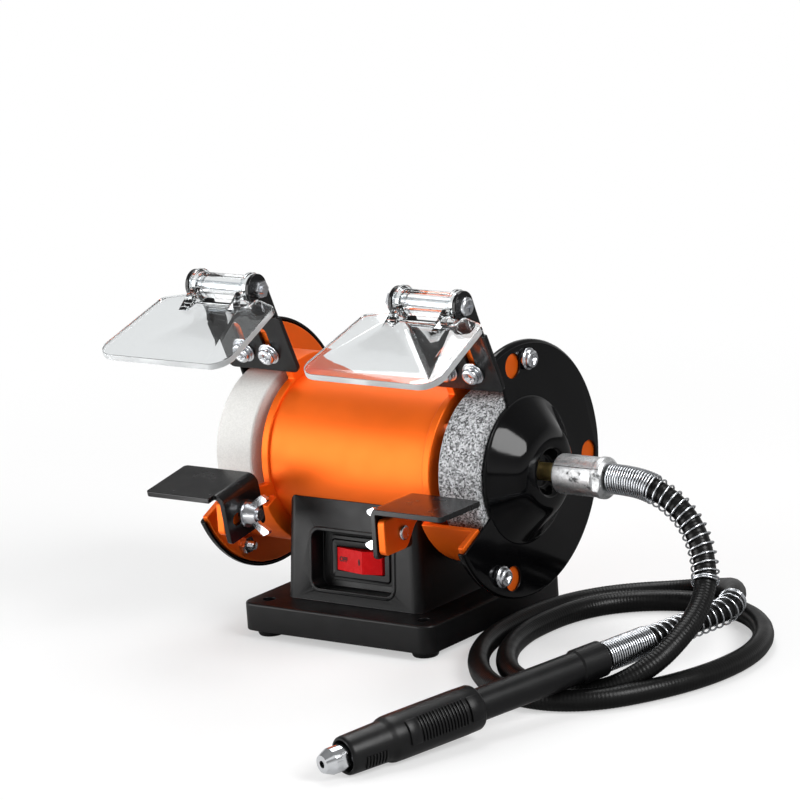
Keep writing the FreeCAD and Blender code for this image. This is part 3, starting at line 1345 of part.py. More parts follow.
def handpiece_body():
    """Long body of the handpiece, inside the grip sleeve and behind it."""
    start = BODY_FRONT
    return on_hand(turned([(start, HAND_BORE_R), (start, BODY_R), (CAP_START, BODY_R),
                           (CAP_START, HAND_BORE_R)], 0))


def handpiece_cap():
    """Rear cap that the sheath goes into."""
    along, length = hand_axis()
    return on_hand(turned([(CAP_START, 0), (CAP_START, CAP_R - 0.8), (CAP_START + 0.8, CAP_R),
                           (length - 0.8, CAP_R), (length, CAP_R - 0.8), (length, 0)], 0))


def grip_sleeve():
    """Sleeve that slides back on the body to lock the spindle."""
    start = SLEEVE_START
    bore = BODY_R + RUN_GAP
    mouth = HAND_SPINDLE_R + 1.2
    stop = SLEEVE_STOP
    hollow = COLLET_R + SLEEVE_HOLLOW_GAP
    floor = COLLET_L + SLEEVE_GAP
    step = SLEEVE_STEP + SLEEVE_STEP_L
    sleeve = turned([(floor, mouth), (floor, hollow), (start, hollow), (start, SLEEVE_RIM_R),
                     (start + 1, SLEEVE_FRONT_R), (SLEEVE_STEP, SLEEVE_NECK_R), (step, SLEEVE_REAR_R),
                     (SLEEVE_END - 1, SLEEVE_REAR_R), (SLEEVE_END, SLEEVE_REAR_R - 1), (SLEEVE_END, bore),
                     (stop, bore), (stop, mouth)], 0)
    return on_hand(sleeve)


def build():
    """Writes every node."""
    os.makedirs("parts", exist_ok=True)
    keep("base_housing", base_housing())
    keep("base_cover", base_cover())
    keep("rubber_feet", rubber_feet())
    keep("base_cover_screws", base_cover_screws())
    keep("cord_gland", cord_gland())
    keep("run_capacitor", run_capacitor())
    keep("switch_frame", switch_frame())
    keep("switch_rocker", switch_rocker())
    keep("motor_tube", motor_tube())
    keep("motor_tie_bolts", motor_tie_bolts())
    keep("stator_core", stator_core())
    keep("stator_winding", stator_winding())
    keep("rotor_core", rotor_core())
    keep("rotor_end_rings", rotor_end_rings())
    keep("motor_shaft", motor_shaft())
    keep("bearing_outer_rings", bearing_outer_rings())
    keep("bearing_inner_rings", bearing_inner_rings())
    keep("bearing_balls", bearing_balls())
    keep("inner_wheel_flanges", inner_wheel_flanges())
    keep("outer_wheel_flanges", outer_wheel_flanges())
    keep("wheel_nuts", wheel_nuts())
    keep("cover_screws", cover_screws())
    keep("cover_nuts", cover_nuts())
    keep("bracket_screws", bracket_screws())
    keep("bracket_nuts", bracket_nuts())
    keep("wheel_cover_right", dished_cover())
    keep("wheel_cover_left", mirrored(closed_cover()))
    for name, piece in (("wheel_guard", wheel_guard), ("grinding_wheel", grinding_wheel),
                        ("spark_bracket", spark_bracket), ("eye_shield", eye_shield),
                        ("hinge_screw", hinge_screw), ("hinge_nut", hinge_nut)):
        shape = piece()
        keep(name + "_right", shape)
        keep(name + "_left", mirrored(shape))
    for name, piece in (("tool_rest", tool_rest), ("rest_bolt", rest_bolt),
                        ("rest_washer", rest_washer), ("wing_nut", wing_nut)):
        shape = piece()
        keep(name + "_right", shape)
        keep(name + "_left", tilted_left(shape))
    keep("brass_spigot", brass_spigot())
    keep("coupling_collar", coupling_collar())
    route = route_wire()
    keep("flex_sheath", flex_sheath(route))
    keep("motor_relief_spring", spring("motor spring", route, False, MOTOR_CLOSE_TURNS, MOTOR_OPEN_TURNS))
    keep("handpiece_relief_spring", spring("tool spring", route, True, TOOL_CLOSE_TURNS, TOOL_OPEN_TURNS))
    keep("collet_nut", collet_nut())
    keep("handpiece_spindle", handpiece_spindle())
    keep("handpiece_bearings", handpiece_bearings())
    keep("handpiece_body", handpiece_body())
    keep("handpiece_cap", handpiece_cap())
    keep("grip_sleeve", grip_sleeve())


build()
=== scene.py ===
"""Bench grinder with a flexible shaft: its finishes, cord, springs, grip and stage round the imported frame."""
import json
import math

import bmesh
import bpy
from bpy.props import FloatProperty, FloatVectorProperty, IntProperty, PointerProperty
from mathutils import Matrix, Vector

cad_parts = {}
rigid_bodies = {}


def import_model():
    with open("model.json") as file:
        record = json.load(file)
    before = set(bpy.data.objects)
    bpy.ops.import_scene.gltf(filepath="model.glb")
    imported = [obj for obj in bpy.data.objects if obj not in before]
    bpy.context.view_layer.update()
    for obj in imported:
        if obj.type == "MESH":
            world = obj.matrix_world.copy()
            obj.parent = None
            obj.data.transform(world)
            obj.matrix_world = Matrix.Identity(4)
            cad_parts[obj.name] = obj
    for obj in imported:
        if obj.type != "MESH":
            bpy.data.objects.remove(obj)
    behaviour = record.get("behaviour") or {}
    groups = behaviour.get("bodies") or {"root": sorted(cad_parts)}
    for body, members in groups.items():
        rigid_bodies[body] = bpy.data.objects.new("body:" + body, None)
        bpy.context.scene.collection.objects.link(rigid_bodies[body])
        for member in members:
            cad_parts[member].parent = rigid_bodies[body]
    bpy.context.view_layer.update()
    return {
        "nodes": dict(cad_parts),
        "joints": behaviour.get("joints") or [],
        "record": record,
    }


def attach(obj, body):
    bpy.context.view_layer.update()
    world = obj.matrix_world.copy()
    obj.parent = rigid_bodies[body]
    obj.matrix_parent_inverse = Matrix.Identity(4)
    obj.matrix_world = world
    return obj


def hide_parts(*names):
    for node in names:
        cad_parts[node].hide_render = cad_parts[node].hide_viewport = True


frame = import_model()

bl_info = {
    "name": "Bench grinder with flexible shaft",
    "version": (1, 0, 0),
    "blender": (4, 5, 0),
    "location": "View3D > Sidebar > Grinder",
    "description": "Dresses a packed bench grinder and adds its flexible shaft, springs, grip and stage",
    "category": "Object",
}

MM = 0.001
RECORD = frame["record"]
JOINTS = {joint["name"]: joint for joint in frame["joints"]}
SLOTS = {part["node"]: part["material_slot"] for part in RECORD["subparts"]}
BODIES = {node: body for body, nodes in RECORD["behaviour"]["bodies"].items() for node in nodes}
SPINDLE = Vector(JOINTS["rotor_spin"]["pos_m"])
SIDES = ("right", "left")

# Route of the sheath from the coupling to the handpiece, in metres
ROUTE = [
    (0.1175, 0.0, 0.0771), (0.128, 0.0, 0.0771), (0.139, 0.0, 0.0752), (0.1495, -0.0005, 0.0704),
    (0.1585, -0.0015, 0.063), (0.1651, -0.0039, 0.0535), (0.1696, -0.0079, 0.0438), (0.1728, -0.0146, 0.0356),
    (0.1751, -0.0263, 0.0282), (0.1745, -0.0401, 0.0215), (0.1715, -0.0519, 0.0153), (0.1651, -0.062, 0.01),
    (0.1555, -0.0694, 0.0054), (0.144, -0.0746, 0.0049), (0.129, -0.076, 0.0049), (0.114, -0.071, 0.0049),
    (0.1, -0.0605, 0.0049), (0.0885, -0.046, 0.0049), (0.0795, -0.029, 0.0049), (0.074, -0.01, 0.0049),
    (0.073, 0.009, 0.0049), (0.075, 0.026, 0.0049), (0.0815, 0.041, 0.0049), (0.093, 0.052, 0.0049),
    (0.107, 0.059, 0.0049), (0.123, 0.0615, 0.0049), (0.1385, 0.059, 0.0049), (0.1535, 0.0515, 0.0049),
    (0.1675, 0.0385, 0.0049), (0.1785, 0.021, 0.0049), (0.1845, 0.0, 0.0049), (0.1845, -0.022, 0.0049),
    (0.18, -0.0425, 0.0049), (0.172, -0.061, 0.0049), (0.1615, -0.0775, 0.0049), (0.1475, -0.0875, 0.0049),
    (0.131, -0.09, 0.0049), (0.1135, -0.0855, 0.0049), (0.0975, -0.075, 0.0049), (0.083, -0.0595, 0.0049),
    (0.0715, -0.0415, 0.0049), (0.064, -0.0215, 0.0049), (0.0615, -0.001, 0.0049), (0.062, 0.019, 0.0049),
    (0.066, 0.037, 0.0049), (0.0745, 0.052, 0.0049), (0.086, 0.0635, 0.0049), (0.0995, 0.071, 0.0052),
    (0.113, 0.0735, 0.007), (0.1255, 0.0685, 0.0098), (0.1365, 0.0585, 0.0138), (0.1465, 0.0465, 0.0182),
    (0.1558, 0.0345, 0.022), (0.164, 0.0235, 0.0243), (0.1695, 0.013, 0.0246), (0.1718, 0.0036, 0.023),
    (0.1688, -0.0073, 0.0222), (0.1653, -0.0215, 0.0214), (0.162, -0.0359, 0.0207),
    (0.15775, -0.05193, 0.01972), (0.15311, -0.06667, 0.01856),
]

# Relief springs: piece, CAD node, step along the route's points, close turns and open turns
RELIEF_SPRINGS = (
    ("motor_spring", "motor_relief_spring", 1, 17, 15),
    ("handpiece_spring", "handpiece_relief_spring", -1, 19, 16),
)
TURN_POINTS = 28        # points in one turn of the wire
END_TURNS = 1.6         # turns that close up again at the far end
OPEN_HANG = 0.35 * MM   # open turns hang this far below the sheath's middle

# Pieces at the ends of the cord, besides its springs, which the cord's step looks up
ON_CORD_NODES = ("handpiece_cap", "handpiece_body", "handpiece_spindle", "handpiece_bearings", "collet_nut")
ON_CORD_PIECES = ("coupling_collar_finished", "grip_sleeve_ribbed")

# Grip sleeve: its outline as distance from the tip and radius, the end bars of its pads, in millimetres,
# and the pads' middles in degrees round it
HAND_TIP = Vector(JOINTS["collet_spin"]["pos_m"])
SLEEVE = (
    (16.3, 4.2), (16.3, 6.5), (11.2, 6.5), (10.6, 7.0), (10.7, 7.7), (11.4, 8.2), (12.6, 8.35),
    (29.6, 8.75), (30.8, 8.95), (32.2, 9.6), (33.6, 9.9), (37.6, 10.0), (70.0, 10.0), (76.6, 9.8),
    (77.5, 9.4), (78.0, 8.8), (78.0, 7.08), (19.3, 7.08), (19.3, 4.2),
)
PAD_BARS = ((38.0, 43.4), (69.4, 75.4))
PAD_MIDDLES = (71.0, 251.0)

# Leaning front of the pedestal: a point on it, the way up it and the way out of it
LEAN = math.atan2(4.4, 47.6)
FRONT = Vector((0.0, -0.035625, 0.0356))
FRONT_UP = Vector((0.0, math.sin(LEAN), math.cos(LEAN)))
FRONT_OUT = Vector((0.0, -math.cos(LEAN), math.sin(LEAN)))

# Rocker: how deep its low end lies behind the front, its ridge, and the slopes of its two faces
ROCKER_DEPTH = 6.4 * MM
ROCKER_RIDGE = 3.5 * MM
ROCKER_SLOPE = math.radians(12.1)
ROCKER_FALL = 0.12      # how much steeper the free face falls than the solid's, as a share of the distance

# Eye shields: tilt at rest, and the end rings of the hinge barrel from its middle, in millimetres
SHIELD_TILT = math.radians(20.0)
LUG_STARTS = (-15.5, 12.9)
LUG = ((0.0, 5.85), (0.0, 6.9), (0.5, 7.3), (2.1, 7.3), (2.6, 6.9), (2.6, 5.85))

# Screws: height of the head, and the washers under it as start, end and radius, in millimetres
BRACKET_HEAD, BRACKET_WASHERS = 2.6, ((0.0, 0.9, 5.3), (1.0, 1.9, 4.5))
COVER_HEAD, COVER_WASHERS = 3.3, ((0.0, 0.95, 4.3),)
WASHER_BORE = 2.2

# Camera: place, then turn, tilt and roll in degrees
CAMERA_PLACE = (1.18793, -1.56645, 0.56498)
CAMERA_ANGLES = (37.03, 13.25, -4.05)
CAMERA_LENS = 202.39

# Lamps: name, place, width in metres, watts and the point that they face
MIDDLE = Vector((0.04, -0.02, 0.07))
LAMPS = (
    ("key", (-1.25, -1.3, 0.45), 1.3, 24.0, MIDDLE),
    ("card", (-0.38, -0.49, 0.004), 0.6, 4.4, Vector((-0.38, -0.49, 1.0))),
    ("right", (1.2, -0.2, 0.9), 0.62, 15.0, MIDDLE),
    ("overhead", (-0.1, 0.3, 1.4), 0.6, 5.5, MIDDLE),
    ("broad", (0.9, -1.5, 1.2), 1.0, 2.0, MIDDLE),
    ("back", (-0.7, 0.85, 1.5), 0.6, 6.0, MIDDLE),
)


def linear(code):
    """Linear colour of an sRGB hex code."""
    parts = [int(code[i:i + 2], 16) / 255 for i in (0, 2, 4)]
    return tuple(c / 12.92 if c <= 0.04045 else ((c + 0.055) / 1.055) ** 2.4 for c in parts)


def colour(label, code, about):
    """Colour property with its default as a hex code."""
    return FloatVectorProperty(name=label, description=about, default=linear(code), subtype="COLOR",
                               size=3, min=0, max=1)


def length(label, millimetres, about):
    """Length property with its default in millimetres."""
    return FloatProperty(name=label, description=about, default=millimetres * MM, unit="LENGTH", precision=5)


class GrinderColours(bpy.types.PropertyGroup):
    """Colours of the finishes"""
    orange: colour("Orange", "F26812", "Powder coat of the guards and the motor tube")
    enamel: colour("Black enamel", "060607", "Side covers")
    satin_black: colour("Satin black", "0D0D0E", "Brackets and tool rests")
    moulding: colour("Black moulding", "0C0C0D", "Base, switch frame and handpiece")
    sheath: colour("Sheath", "0A0A0A", "Rubber sheath of the flexible shaft")
    rocker: colour("Rocker", "D0060E", "Switch rocker")
    zinc: colour("Zinc", "D6D8DC", "Plated screws, nuts and washers")
    wire: colour("Spring wire", "D4D7DB", "Relief springs")
    casting: colour("Raw aluminium", "E6E7E8", "Coupling")
    brass: colour("Brass", "EAD08C", "Spigot")
    grey_grit: colour("Grey abrasive", "9B9C9E", "Right wheel")
    white_grit: colour("White abrasive", "D2D1CE", "Left wheel")


class GrinderSizes(bpy.types.PropertyGroup):
    """Sizes of the pieces that are added to the frame"""
    sheath: length("Sheath", 9.6, "Outside diameter of the sheath")
    ripple: length("Ripple", 1.6, "Spacing of the sheath's fine ripple")
    ripple_depth: length("Ripple depth", 0.09, "Depth of the ripple")
    wire: length("Wire", 0.85, "Diameter of the spring wire")
    close_pitch: length("Close pitch", 1.24, "Spacing of the close turns")
    open_pitch: length("Open pitch", 4.0, "Spacing of the open turns")
    close_radius: length("Close radius", 6.3, "Radius of the close turns")
    open_radius: length("Open radius", 5.85, "Radius of the open turns")
    edge: length("Edge", 0.35, "Rounding of sheet edges")
    cast_edge: length("Cast edge", 0.6, "Rounding of cast and moulded edges")
    grip_ribs: IntProperty(name="Grip ribs", description="Ribs on each of the sleeve's pads", default=15,
                           min=4, max=30)
    rib_pitch: length("Rib pitch", 1.6, "Spacing of the ribs on the sleeve")
    rib_height: length("Rib height", 0.7, "Height of the ribs over the sleeve")


def sizes():
    """Sizes that the scene holds."""
    return bpy.context.scene.grinder_sizes


def colours():
    """Colours that the scene holds."""
    return bpy.context.scene.grinder_colours


# Materials

def add(tree, kind, inputs=None, stops=(), **settings):
    """Adds one node; an input is a constant or another node's output, and stops are a ramp's colours."""
    made = tree.nodes.new("ShaderNode" + kind)
    for name, value in settings.items():
        setattr(made, name, value)
    for name, value in (inputs or {}).items():
        if isinstance(value, bpy.types.NodeSocket):
            tree.links.new(value, made.inputs[name])
        else:
            made.inputs[name].default_value = value
    for i, (at, tone) in enumerate(stops):
        element = made.color_ramp.elements[i] if i < 2 else made.color_ramp.elements.new(at)
        element.position = at
        element.color = (*tone, 1)
    return made


def shaded(tone, share):
    """A colour made darker or lighter by a share."""
    return tuple(min(1.0, part * share) for part in tone)


def new_material(name, **sockets):
    """Material with one shader; gives the material, its tree, the shader and Object coordinates."""
    made = bpy.data.materials.new(name)
    made.use_nodes = True
    tree = made.node_tree
    tree.nodes.clear()
    plain = {key.replace("_", " "): value for key, value in sockets.items()}
    shader = add(tree, "BsdfPrincipled", plain)
    add(tree, "OutputMaterial", {"Surface": shader.outputs["BSDF"]})
    place = add(tree, "TexCoord").outputs["Object"]
    return made, tree, shader, place


def mottled(name, tone, spread, patch, grain, depth, roughness, **sockets):
    """Finish whose tone and gloss drift over patches and whose skin has a fine grain.

    The tone drifts by the spread; patch, grain and the grain's depth are in millimetres.
    """
    made, tree, shader, place = new_material(name, **sockets)
    drift = add(tree, "TexNoise", {"Vector": place, "Scale": 1 / (patch * MM), "Detail": 3.0})
    ramp = add(tree, "ValToRGB", {"Fac": drift.outputs["Fac"]},
               ((0.3, shaded(tone, 1 - spread)), (0.7, shaded(tone, 1 + spread))))
    tree.links.new(ramp.outputs["Color"], shader.inputs["Base Color"])
    skin = add(tree, "TexNoise", {"Vector": place, "Scale": 1 / (grain * MM), "Detail": 2.0})
    low, high = roughness
    gloss = add(tree, "MapRange", {"Value": drift.outputs["Fac"], "From Min": 0.3, "From Max": 0.7,
                                   "To Min": low, "To Max": high})
    tree.links.new(gloss.outputs["Result"], shader.inputs["Roughness"])
    bump = add(tree, "Bump", {"Height": skin.outputs["Fac"], "Strength": 1.0, "Distance": depth * MM})
    tree.links.new(bump.outputs["Normal"], shader.inputs["Normal"])
    return made


def bonded_abrasive(name, tone, grit, contrast, depth):
    """Bonded abrasive: sharp grains of mixed tone, rough all over, with pores between them.

    The grit and the pores' depth are in millimetres.
    """
    made, tree, shader, place = new_material(name, Roughness=0.85)
    grains = add(tree, "TexVoronoi", {"Vector": place, "Scale": 1 / (grit * MM)})
    tint = add(tree, "SeparateColor", {"Color": grains.outputs["Color"]})
    ramp = add(tree, "ValToRGB", {"Fac": tint.outputs["Red"]},
               ((0.1, shaded(tone, 1 - contrast)), (0.55, tone), (0.95, shaded(tone, 1 + contrast))))
    tree.links.new(ramp.outputs["Color"], shader.inputs["Base Color"])
    pores = add(tree, "TexNoise", {"Vector": place, "Scale": 0.6 / (grit * MM), "Detail": 4.0,
                                   "Roughness": 0.7})
    bump = add(tree, "Bump", {"Height": pores.outputs["Fac"], "Strength": 1.0, "Distance": depth * MM})
    tree.links.new(bump.outputs["Normal"], shader.inputs["Normal"])
    return made


def scuffed_aluminium(name, tone):
    """Raw cast aluminium: bright, blotched with dark oxide, with short scratches and a parting line."""
    made, tree, shader, place = new_material(name, Metallic=1.0)
    blotch = add(tree, "TexNoise", {"Vector": place, "Scale": 1 / (5 * MM), "Detail": 8.0,
                                    "Roughness": 0.75})
    ramp = add(tree, "ValToRGB", {"Fac": blotch.outputs["Fac"]},
               ((0.36, shaded(tone, 0.12)), (0.43, shaded(tone, 0.7)), (0.55, tone)))
    middle = add(tree, "VectorMath", {0: place, 1: SPINDLE}, operation="SUBTRACT")
    angle = math.radians(38.0)
    off = add(tree, "VectorMath", {0: middle.outputs[0], 1: (0, math.sin(angle), math.cos(angle))},
              operation="DOT_PRODUCT")
    apart = add(tree, "Math", {0: off.outputs["Value"]}, operation="ABSOLUTE")
    seam = add(tree, "MapRange", {"Value": apart.outputs[0], "From Min": 0.1 * MM, "From Max": 0.2 * MM})
    both = add(tree, "MixRGB", {"Fac": seam.outputs["Result"], "Color1": (0.02, 0.02, 0.02, 1),
                                "Color2": ramp.outputs["Color"]})
    tree.links.new(both.outputs["Color"], shader.inputs["Base Color"])
    gloss = add(tree, "MapRange", {"Value": blotch.outputs["Fac"], "From Min": 0.35, "From Max": 0.6,
                                   "To Min": 0.6, "To Max": 0.34})
    tree.links.new(gloss.outputs["Result"], shader.inputs["Roughness"])
    stretch = add(tree, "Mapping", {"Vector": place, "Scale": (0.25, 1.0, 1.0)})
    scratch = add(tree, "TexNoise", {"Vector": stretch.outputs["Vector"], "Scale": 1 / (0.7 * MM),
                                     "Detail": 3.0})
    bump = add(tree, "Bump", {"Height": scratch.outputs["Fac"], "Strength": 1.0, "Distance": 0.03 * MM})
    tree.links.new(bump.outputs["Normal"], shader.inputs["Normal"])
    return made


def clear_polycarbonate(name, roughness, clearness):
    """Moulded clear polycarbonate: see-through, with a very slight ripple."""
    made, tree, shader, place = new_material(name, Roughness=roughness, IOR=1.585,
                                             Transmission_Weight=clearness)
    shader.inputs["Base Color"].default_value = (*linear("EAEDEE"), 1)
    ripple = add(tree, "TexNoise", {"Vector": place, "Scale": 1 / (14 * MM)})
    bump = add(tree, "Bump", {"Height": ripple.outputs["Fac"], "Strength": 1.0, "Distance": 0.004 * MM})
    tree.links.new(bump.outputs["Normal"], shader.inputs["Normal"])
    return made


def make_finishes():
    """All materials, keyed by the record's slots."""
    c = colours()
    return {
        # Metallic powder coat over cast metal: a warm sheen, with very slow orange-peel waves
        "orange_paint": mottled("powder_coat_orange", c.orange, 0.015, 9.0, 2.4, 0.002, (0.43, 0.48),
                                Metallic=0.6, Specular_IOR_Level=0.35),
        # Stove enamel on pressed steel: deep gloss black with faint waves
        "gloss_black_paint": mottled("stove_enamel_black", c.enamel, 0.1, 12.0, 4.0, 0.003, (0.07, 0.11),
                                     Specular_IOR_Level=0.22),
        # Powder coat on bent sheet: satin with a tight grain
        "black_paint": mottled("powder_coat_black", c.satin_black, 0.12, 6.0, 0.5, 0.005, (0.2, 0.28),
                               Specular_IOR_Level=0.36),
        # Moulded ABS: satin, with a fine eroded grain
        "black_plastic": mottled("moulded_abs_black", c.moulding, 0.1, 8.0, 0.45, 0.012, (0.32, 0.42),
                                 Specular_IOR_Level=0.25),
        # Moulded capacitor case: plain satin grey
        "grey_plastic": mottled("capacitor_case_grey", linear("8A8D90"), 0.05, 8.0, 0.5, 0.015, (0.4, 0.5)),
        # Moulded nylon: a strong red with a low sheen
        "red_plastic": mottled("moulded_nylon_red", c.rocker, 0.05, 3.0, 0.6, 0.004, (0.24, 0.3),
                               Specular_IOR_Level=0.1),
        # Moulded rubber: soft black, matte
        "rubber": mottled("moulded_rubber_black", linear("0C0C0D"), 0.15, 4.0, 0.5, 0.03, (0.55, 0.65),
                          Specular_IOR_Level=0.3),
        # Extruded rubber: a satin skin
        "sheath_rubber": mottled("extruded_rubber_black", c.sheath, 0.12, 5.0, 0.6, 0.006, (0.3, 0.4),
                                 Specular_IOR_Level=0.22),
        # Zinc plating: bright, cool, slightly cloudy
        "zinc_steel": mottled("zinc_plate", c.zinc, 0.1, 2.0, 0.4, 0.006, (0.18, 0.28), Metallic=1.0),
        # Drawn spring wire and ground steel: bright
        "bright_steel": mottled("drawn_steel", c.wire, 0.08, 3.0, 0.4, 0.004, (0.16, 0.24), Metallic=1.0),
        # Turned and polished steel: mirror bright with faint clouding
        "polished_steel": mottled("polished_steel", linear("DCDEE1"), 0.05, 3.0, 0.5, 0.003, (0.1, 0.16),
                                  Metallic=1.0),
        # Stamped silicon steel: dull grey
        "core_steel": mottled("lamination_steel", linear("6A6C70"), 0.15, 4.0, 0.5, 0.03, (0.4, 0.5),
                              Metallic=1.0),
        # Varnished copper wire: warm, uneven gloss
        "copper": mottled("enamelled_copper", linear("B8622B"), 0.2, 2.0, 0.6, 0.06, (0.28, 0.4),
                          Metallic=1.0),
        # Turned brass: warm, softly bright
        "brass": mottled("turned_brass", c.brass, 0.06, 2.0, 0.5, 0.002, (0.34, 0.42), Metallic=1.0),
        # Cast aluminium left raw: bright with dark blotches
        "aluminium": scuffed_aluminium("cast_aluminium", c.casting),
        # Silicon carbide grit: salt and pepper; drawn coarser than the real grit, so that it shows
        "grey_abrasive": bonded_abrasive("silicon_carbide_grey", c.grey_grit, 0.7, 0.85, 0.14),
        # Aluminium oxide grit: chalky, nearly even; drawn coarser as well
        "white_abrasive": bonded_abrasive("aluminium_oxide_white", c.white_grit, 0.6, 0.05, 0.06),
        # Polished faces of the shields, and their cut edges, which are frosted and catch the light
        "clear_plastic": clear_polycarbonate("clear_polycarbonate", 0.02, 1.0),
        "clear_edge": clear_polycarbonate("frosted_polycarbonate", 0.3, 0.6),
    }


FINISHES = {}


def finish_of(slot):
    """Material of a slot, made when it is first asked for."""
    if not FINISHES:
        FINISHES.update(make_finishes())
    return FINISHES[slot]


# Making pieces

def piece(name, shape, body, slot, smooth=35.0, replaces=()):
    """Object from a bmesh, smooth-shaded up to an angle, riding on a body with a slot's finish."""
    mesh = bpy.data.meshes.new(name)
    shape.to_mesh(mesh)
    shape.free()
    mesh.shade_smooth()
    mesh.set_sharp_from_angle(angle=math.radians(smooth))
    made = bpy.data.objects.new(name, mesh)
    bpy.context.scene.collection.objects.link(made)
    mesh.materials.append(finish_of(slot))
    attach(made, body)
    if replaces:
        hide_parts(*replaces)
    return made


def paint(*nodes):
    """Gives CAD nodes the finish of their slots."""
    for node in nodes:
        mesh = frame["nodes"][node].data
        mesh.materials.clear()
        mesh.materials.append(finish_of(SLOTS[node]))


def merged_copy(node):
    """Bmesh copy of a CAD node with its triangles joined."""
    shape = bmesh.new()
    shape.from_mesh(frame["nodes"][node].data)
    bmesh.ops.remove_doubles(shape, verts=shape.verts, dist=1e-6)
    return shape


def rounded(node, radius, angle=30.0):
    """Copy of a CAD node with its sharp edges rounded, standing for the node."""
    shape = merged_copy(node)
    bmesh.ops.dissolve_limit(shape, angle_limit=math.radians(0.03), verts=shape.verts, edges=shape.edges)
    made = piece(node + "_finished", shape, BODIES[node], SLOTS[node], angle, (node,))
    bevel = made.modifiers.new("rounding", "BEVEL")
    bevel.width = radius
    bevel.segments = 2
    bevel.limit_method = "ANGLE"
    bevel.angle_limit = math.radians(angle)
    bevel.use_clamp_overlap = False
    bevel.harden_normals = True
    return made


def soften(shape, angle, rounding):
    """Rounds the edges of a bmesh that turn by more than an angle."""
    hard = [edge for edge in shape.edges if edge.calc_face_angle(0) > angle]
    bmesh.ops.bevel(shape, geom=hard, offset=rounding, affect="EDGES", segments=2, profile=0.5, material=-1,
                    clamp_overlap=True)


def lathe(points, steps):
    """Closed outline of (along, radius) points in millimetres, turned round the X axis."""
    shape = bmesh.new()
    spots = [shape.verts.new((along * MM, 0, radius * MM)) for along, radius in points]
    edges = [shape.edges.new(pair) for pair in zip(spots, spots[1:])]
    edges.append(shape.edges.new((spots[-1], spots[0])))
    bmesh.ops.spin(shape, geom=spots + edges, axis=(1, 0, 0), cent=(0, 0, 0), steps=steps,
                   angle=2 * math.pi, use_merge=True)
    bmesh.ops.remove_doubles(shape, verts=shape.verts, dist=1e-7)
    bmesh.ops.recalc_face_normals(shape, faces=shape.faces)
    return shape


def arc_bar(shape, along, radii, middle, span, steps, rounding):
    """Adds a bar that lies on a stretch of a circle round X: its section spun through an angle in degrees."""
    (start, end), (inner, outer) = along, radii
    bar = bmesh.new()
    corners = [bar.verts.new((x, 0, radius)) for x, radius in
               ((start, inner), (end, inner), (end, outer), (start, outer))]
    face = bar.faces.new(corners)
    bmesh.ops.rotate(bar, verts=bar.verts, cent=(0, 0, 0),
                     matrix=Matrix.Rotation(math.radians(middle - span / 2), 3, "X"))
    bmesh.ops.spin(bar, geom=[face, *face.edges, *face.verts], axis=(1, 0, 0), cent=(0, 0, 0), steps=steps,
                   angle=math.radians(span))
    bmesh.ops.recalc_face_normals(bar, faces=bar.faces)
    soften(bar, math.radians(40), rounding)
    join(shape, bar)


def join(shape, other):
    """Adds one bmesh to another and frees it."""
    carrier = bpy.data.meshes.new("carrier")
    other.to_mesh(carrier)
    other.free()
    shape.from_mesh(carrier)
    bpy.data.meshes.remove(carrier)


def islands(shape):
    """Vertices of each loose piece of a bmesh."""
    waiting = set(shape.verts)
    found = []
    while waiting:
        group, front = set(), [waiting.pop()]
        while front:
            vert = front.pop()
            group.add(vert)
            near = {edge.other_vert(vert) for edge in vert.link_edges} & waiting
            waiting -= near
            front += near
        found.append(group)
    return found


def basis(origin, along, up=Vector((0, 0, 1))):
    """Matrix that takes the X axis to a direction, with Y level across it."""
    along = along.normalized()
    side = up.cross(along).normalized()
    return Matrix.Translation(origin) @ Matrix((along, side, along.cross(side))).transposed().to_4x4()


def screw_seat(verts, out, head):
    """Point on a screw's axis under its head, whose height is given."""
    turn = basis(Vector(), out).to_3x3()
    spans = [[v.co.dot(axis) for v in verts] for axis in turn.col]
    middle = Vector((min(span) + max(span)) / 2 for span in spans)
    middle[0] = max(spans[0]) - head
    return turn @ middle


def mesh_of(data):
    """Mesh of a curve or a text, which is removed."""
    holder = bpy.data.objects.new(data.name, data)
    mesh = bpy.data.meshes.new_from_object(holder)
    bpy.data.objects.remove(holder)
    bpy.data.curves.remove(data)
    return mesh


def shape_of(data):
    """Bmesh of a curve or a text, which is removed."""
    mesh = mesh_of(data)
    shape = bmesh.new()
    shape.from_mesh(mesh)
    bpy.data.meshes.remove(mesh)
    return shape


# Cord

def swept(name, line, radius, body, slot, ring_radii=None, sides=6, replaces=()):
    """Tube along points, as a mesh made by a bevelled curve; a point may have its own share of the radius."""
    curve = bpy.data.curves.new(name, "CURVE")
    curve.dimensions = "3D"
    curve.bevel_depth = radius
    curve.bevel_resolution = sides
    curve.use_fill_caps = True
    spline = curve.splines.new("POLY")
    spline.points.add(len(line) - 1)
    for i, spot in enumerate(line):
        spline.points[i].co = (*spot, 1)
        spline.points[i].radius = ring_radii[i] if ring_radii else 1.0
    shape = shape_of(curve)
    bmesh.ops.remove_doubles(shape, verts=shape.verts, dist=1e-7)
    bmesh.ops.recalc_face_normals(shape, faces=shape.faces)
    return piece(name, shape, body, slot, 60.0, replaces)


def route_line(steps):
    """Points along the sheath's smooth line."""
    curve = bpy.data.curves.new("route", "CURVE")
    curve.dimensions = "3D"
    spline = curve.splines.new("NURBS")
    spline.points.add(len(ROUTE) - 1)
    for spot, place in zip(spline.points, ROUTE):
        spot.co = (*place, 1)
    spline.order_u = 3
    spline.use_endpoint_u = True
    spline.resolution_u = steps
    mesh = mesh_of(curve)
    line = [vertex.co.copy() for vertex in mesh.vertices]
    bpy.data.meshes.remove(mesh)
    return line


def distances(line):
    """Distance along a line at each of its points."""
    along = [0.0]
    for a, b in zip(line, line[1:]):
        along.append(along[-1] + (b - a).length)
    return along


